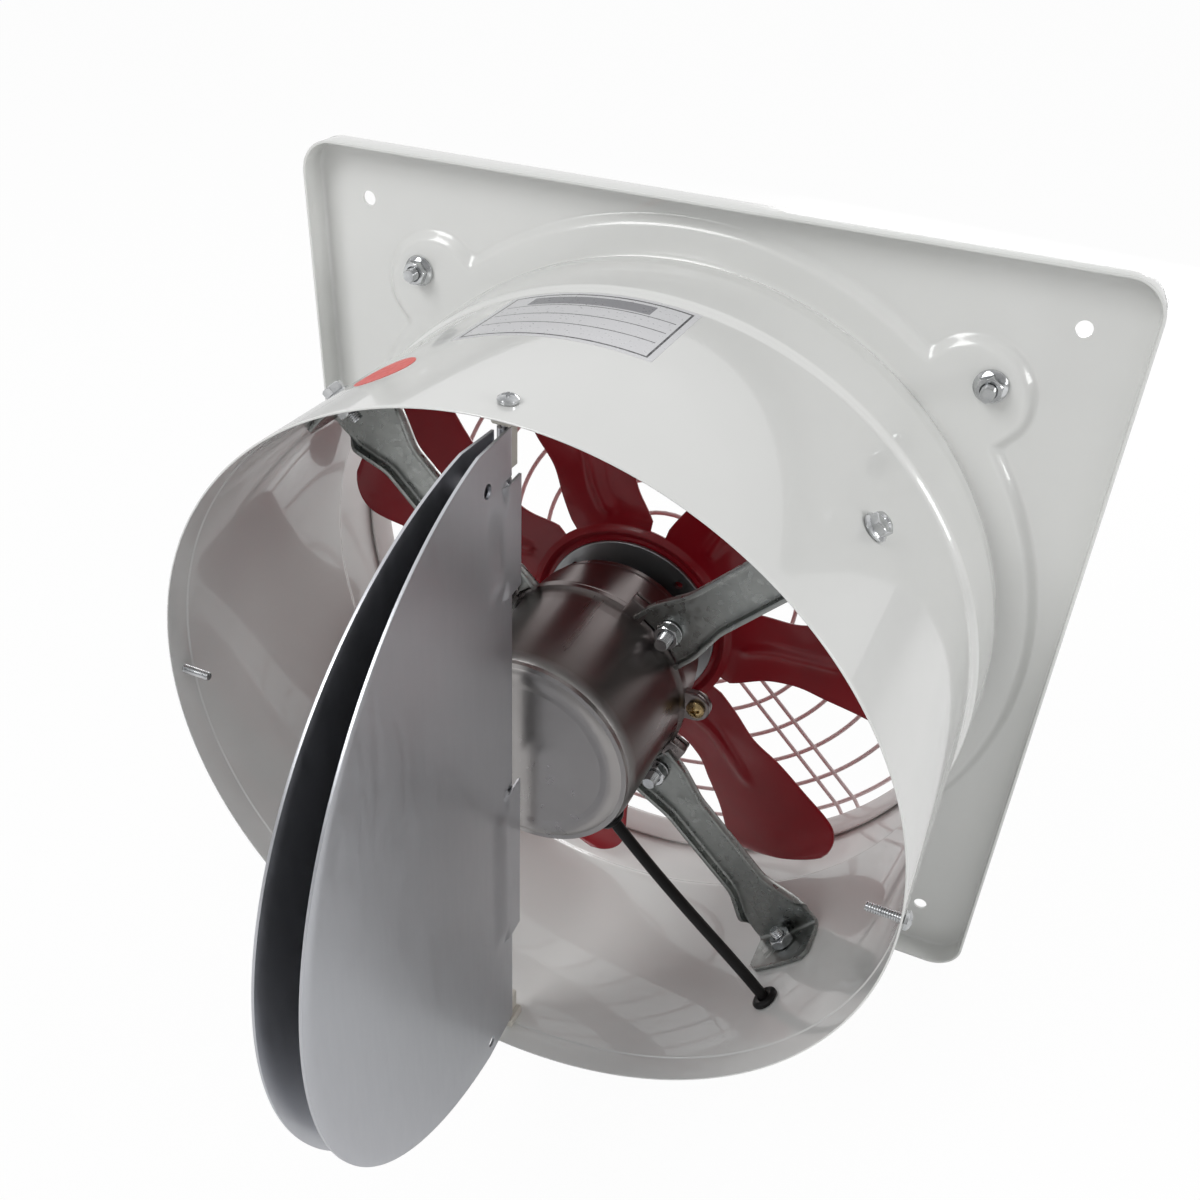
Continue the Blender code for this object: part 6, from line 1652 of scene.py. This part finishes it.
class FAN_OT_wall_screws(bpy.types.Operator):
    """Make the screws through the duct wall that hold the brackets and stop the leaves"""

    bl_idname = "fan.make_wall_screws"
    bl_label = "Wall Screws"

    def execute(self, context):
        through = WALL_OUTER - WALL_INNER
        for name, angle, radius, z, length, shift in (
            ("hinge_screw_top", 90, 0.0018, HINGE_SCREW_Z, through + 0.003, HINGE_OFFSET),
            ("hinge_screw_bottom", -90, 0.0018, HINGE_SCREW_Z, through + 0.003, HINGE_OFFSET),
            ("stop_screw_right", 0, 0.0019, STOP_SCREW_Z, through + 0.012, 0.0),
            ("stop_screw_left", 180, 0.0019, STOP_SCREW_Z, through + 0.012, 0.0),
        ):
            screw = make_cross_screw(
                name + "_zinc", head_radius=0.0037, head_height=0.0026, radius=radius, length=length,
                place=lambda p: radially(turned_about_axis(p, 25), angle, WALL_OUTER, z, shift),
            )
            dress_zinc(screw, name)
        return {"FINISHED"}


class FAN_OT_lead(bpy.types.Operator):
    """Make the motor's lead, its bush and its grommet"""

    bl_idname = "fan.make_lead"
    bl_label = "Motor Lead"

    def execute(self, context):
        lead = surface("lead_sheath", [patch(swept(cable_route(), CABLE_RADIUS, 32), False, True, True, True)])
        dress(lead, rubber(), "fan_body", "black_rubber", "motor_cable")
        dress(make_bush(), rubber(), "fan_body", "black_rubber", "motor_cable_bush")
        dress(make_grommet(), rubber(), "fan_body", "black_rubber", "duct_grommet")
        return {"FINISHED"}


class FAN_OT_stickers(bpy.types.Operator):
    """Make the blank rating plate and the plain oval on the duct"""

    bl_idname = "fan.make_stickers"
    bl_label = "Stickers"

    def execute(self, context):
        sizes = context.scene.fan_sizes
        label = drum_sticker(
            "blank_rating_label", (sizes.label_start, sizes.label_end), (sizes.label_near, sizes.label_far)
        )
        dress(label, label_film(), "fan_body", "white_paint")
        oval = drum_sticker("plain_oval_sticker", OVAL_ANGLES, OVAL_REACHES, "oval")
        dress(oval, oval_film(), "fan_body", "red_paint")
        return {"FINISHED"}


class FAN_OT_stage(bpy.types.Operator):
    """Set the floor, the light and the photograph's camera"""

    bl_idname = "fan.make_stage"
    bl_label = "Stage"

    def execute(self, context):
        stage = context.scene.fan_stage
        mesh = bpy.data.meshes.new("floor")
        edge, level = FLOOR_HALF, stage.floor_height
        corners = [(-edge, -edge, level), (edge, -edge, level), (edge, edge, level), (-edge, edge, level)]
        mesh.from_pydata(corners, [], [(0, 1, 2, 3)])
        floor = bpy.data.objects.new("floor", mesh)
        context.scene.collection.objects.link(floor)
        floor.data.materials.append(floor_white())
        make_world(stage.sky_strength)
        add_lamp("key_lamp", (-0.75, -1.25, 1.30), (0, -0.08, 0), size=0.9, power=stage.key_power)
        add_lamp("fill_lamp", (1.6, -0.32, 0.60), (0, -0.12, 0), size=0.5, power=stage.fill_power)
        add_lamp("back_lamp", (0.1, 1.3, 0.25), (0, -0.08, 0), size=0.8, power=stage.back_power)
        add_camera(context.scene)
        context.scene.view_settings.view_transform = "Standard"
        return {"FINISHED"}


def floor_white():
    """A pale matte floor that the camera sees nearly white, with the fan's shadow kept on it."""
    material, tree, shader, place = start_material("floor")
    if tree:
        grain = noise(tree, place, 40.0, 3.0)
        shade = spread(tree, grain, 0.3, 0.7, 0.0, 1.0)
        colour = blended(tree, shade, (0.86, 0.86, 0.86, 1), (0.88, 0.88, 0.88, 1))
        fill(tree, shader, Base_Color=colour, Roughness=0.9)
        glow = add(tree, "ShaderNodeEmission", Color=(1, 1, 1, 1), Strength=1.0)
        rays = add(tree, "ShaderNodeLightPath")
        seen = combine(tree, "MULTIPLY", rays.outputs["Is Camera Ray"], 0.96)
        mix = add(tree, "ShaderNodeMixShader", i0=seen, i1=shader.outputs[0], i2=glow.outputs[0])
        fill(tree, tree.nodes["Material Output"], Surface=mix.outputs[0])
    return material


def make_world(strength):
    """White to the camera and behind the fan, dimmer on the viewer's side, and lighter from above than below."""
    world = bpy.data.worlds.new("room")
    bpy.context.scene.world = world
    world.use_nodes = True
    tree = world.node_tree
    tree.nodes.clear()
    out = tree.nodes.new("ShaderNodeOutputWorld")
    rays = tree.nodes.new("ShaderNodeLightPath")
    way = add(tree, "ShaderNodeSeparateXYZ", Vector=tree.nodes.new("ShaderNodeTexCoord").outputs["Generated"])
    seen = combine(tree, "MAXIMUM", rays.outputs["Is Camera Ray"], rays.outputs["Is Glossy Ray"])
    seen = combine(tree, "MAXIMUM", seen, rays.outputs["Is Transmission Ray"])
    behind = spread(tree, way.outputs[1], -0.55, 0.25, 0.42, 1.0)
    backdrop = combine(tree, "MAXIMUM", rays.outputs["Is Camera Ray"], behind)
    white = add(tree, "ShaderNodeBackground", Color=(1, 1, 1, 1), Strength=backdrop)
    level = spread(tree, way.outputs[2], -1.0, 1.0, 0.45 * strength, 1.55 * strength)
    light = add(tree, "ShaderNodeBackground", Color=(1, 1, 1, 1), Strength=level)
    mix = add(tree, "ShaderNodeMixShader", i0=seen, i1=light.outputs[0], i2=white.outputs[0])
    fill(tree, out, Surface=mix.outputs[0])


def add_lamp(name, place, target, size, power):
    """A square soft lamp that faces a point."""
    data = bpy.data.lights.new(name, "AREA")
    data.shape = "SQUARE"
    data.size = size
    data.energy = power
    lamp = bpy.data.objects.new(name, data)
    lamp.location = place
    away = Vector(place) - Vector(target)
    lamp.rotation_euler = away.to_track_quat("Z", "Y").to_euler()
    bpy.context.scene.collection.objects.link(lamp)


def add_camera(scene):
    """The photograph's camera: its turn is a rotation vector from the part's frame to x right, y down, z ahead."""
    axis = Vector(CAMERA_TURN)
    turn = Matrix.Rotation(axis.length, 3, axis.normalized())
    data = bpy.data.cameras.new("photo_camera")
    data.sensor_fit = "HORIZONTAL"
    data.sensor_width = SENSOR_WIDTH
    data.lens = FOCAL_PIXELS / FRAME_PIXELS * SENSOR_WIDTH
    data.shift_x = -(CENTRE_PIXELS[0] - FRAME_PIXELS / 2) / FRAME_PIXELS
    data.shift_y = (CENTRE_PIXELS[1] - FRAME_PIXELS / 2) / FRAME_PIXELS
    data.clip_start = 0.01
    camera = bpy.data.objects.new("photo_camera", data)
    flip = Matrix(((1, 0, 0), (0, -1, 0), (0, 0, -1)))
    pose = (turn.transposed() @ flip).to_4x4()
    pose.translation = Vector(CAMERA_PLACE)
    camera.matrix_world = pose
    scene.collection.objects.link(camera)
    scene.camera = camera


class FAN_PT_panel(bpy.types.Panel):
    """Lists the fan's pieces and settings"""

    bl_label = "Extractor Fan"
    bl_idname = "FAN_PT_panel"
    bl_space_type = "VIEW_3D"
    bl_region_type = "UI"
    bl_category = "Extractor Fan"

    def draw(self, context):
        column = self.layout.column(align=True)
        for operator in OPERATORS:
            column.operator(operator.bl_idname)
        for group in (context.scene.fan_sizes, context.scene.fan_finishes, context.scene.fan_stage):
            box = self.layout.box()
            for name in group.__annotations__:
                box.prop(group, name)


OPERATORS = (
    FAN_OT_stage, FAN_OT_plate, FAN_OT_drum, FAN_OT_guard, FAN_OT_guard_fasteners, FAN_OT_motor, FAN_OT_arms,
    FAN_OT_impeller, FAN_OT_shutter, FAN_OT_wall_screws, FAN_OT_lead, FAN_OT_stickers,
)
CLASSES = (FanSizes, FanFinishes, FanStage) + OPERATORS + (FAN_PT_panel,)


def register():
    """Adds the classes and the settings to Blender."""
    for cls in CLASSES:
        bpy.utils.register_class(cls)
    bpy.types.Scene.fan_sizes = bpy.props.PointerProperty(type=FanSizes)
    bpy.types.Scene.fan_finishes = bpy.props.PointerProperty(type=FanFinishes)
    bpy.types.Scene.fan_stage = bpy.props.PointerProperty(type=FanStage)


def unregister():
    """Takes the classes and the settings away again."""
    del bpy.types.Scene.fan_stage
    del bpy.types.Scene.fan_finishes
    del bpy.types.Scene.fan_sizes
    for cls in reversed(CLASSES):
        bpy.utils.unregister_class(cls)


def main():
    """Makes every piece and the stage with their operators."""
    register()
    for operator in OPERATORS:
        group, name = operator.bl_idname.split(".")
        getattr(getattr(bpy.ops, group), name)()


if __name__ == "__main__":
    main()
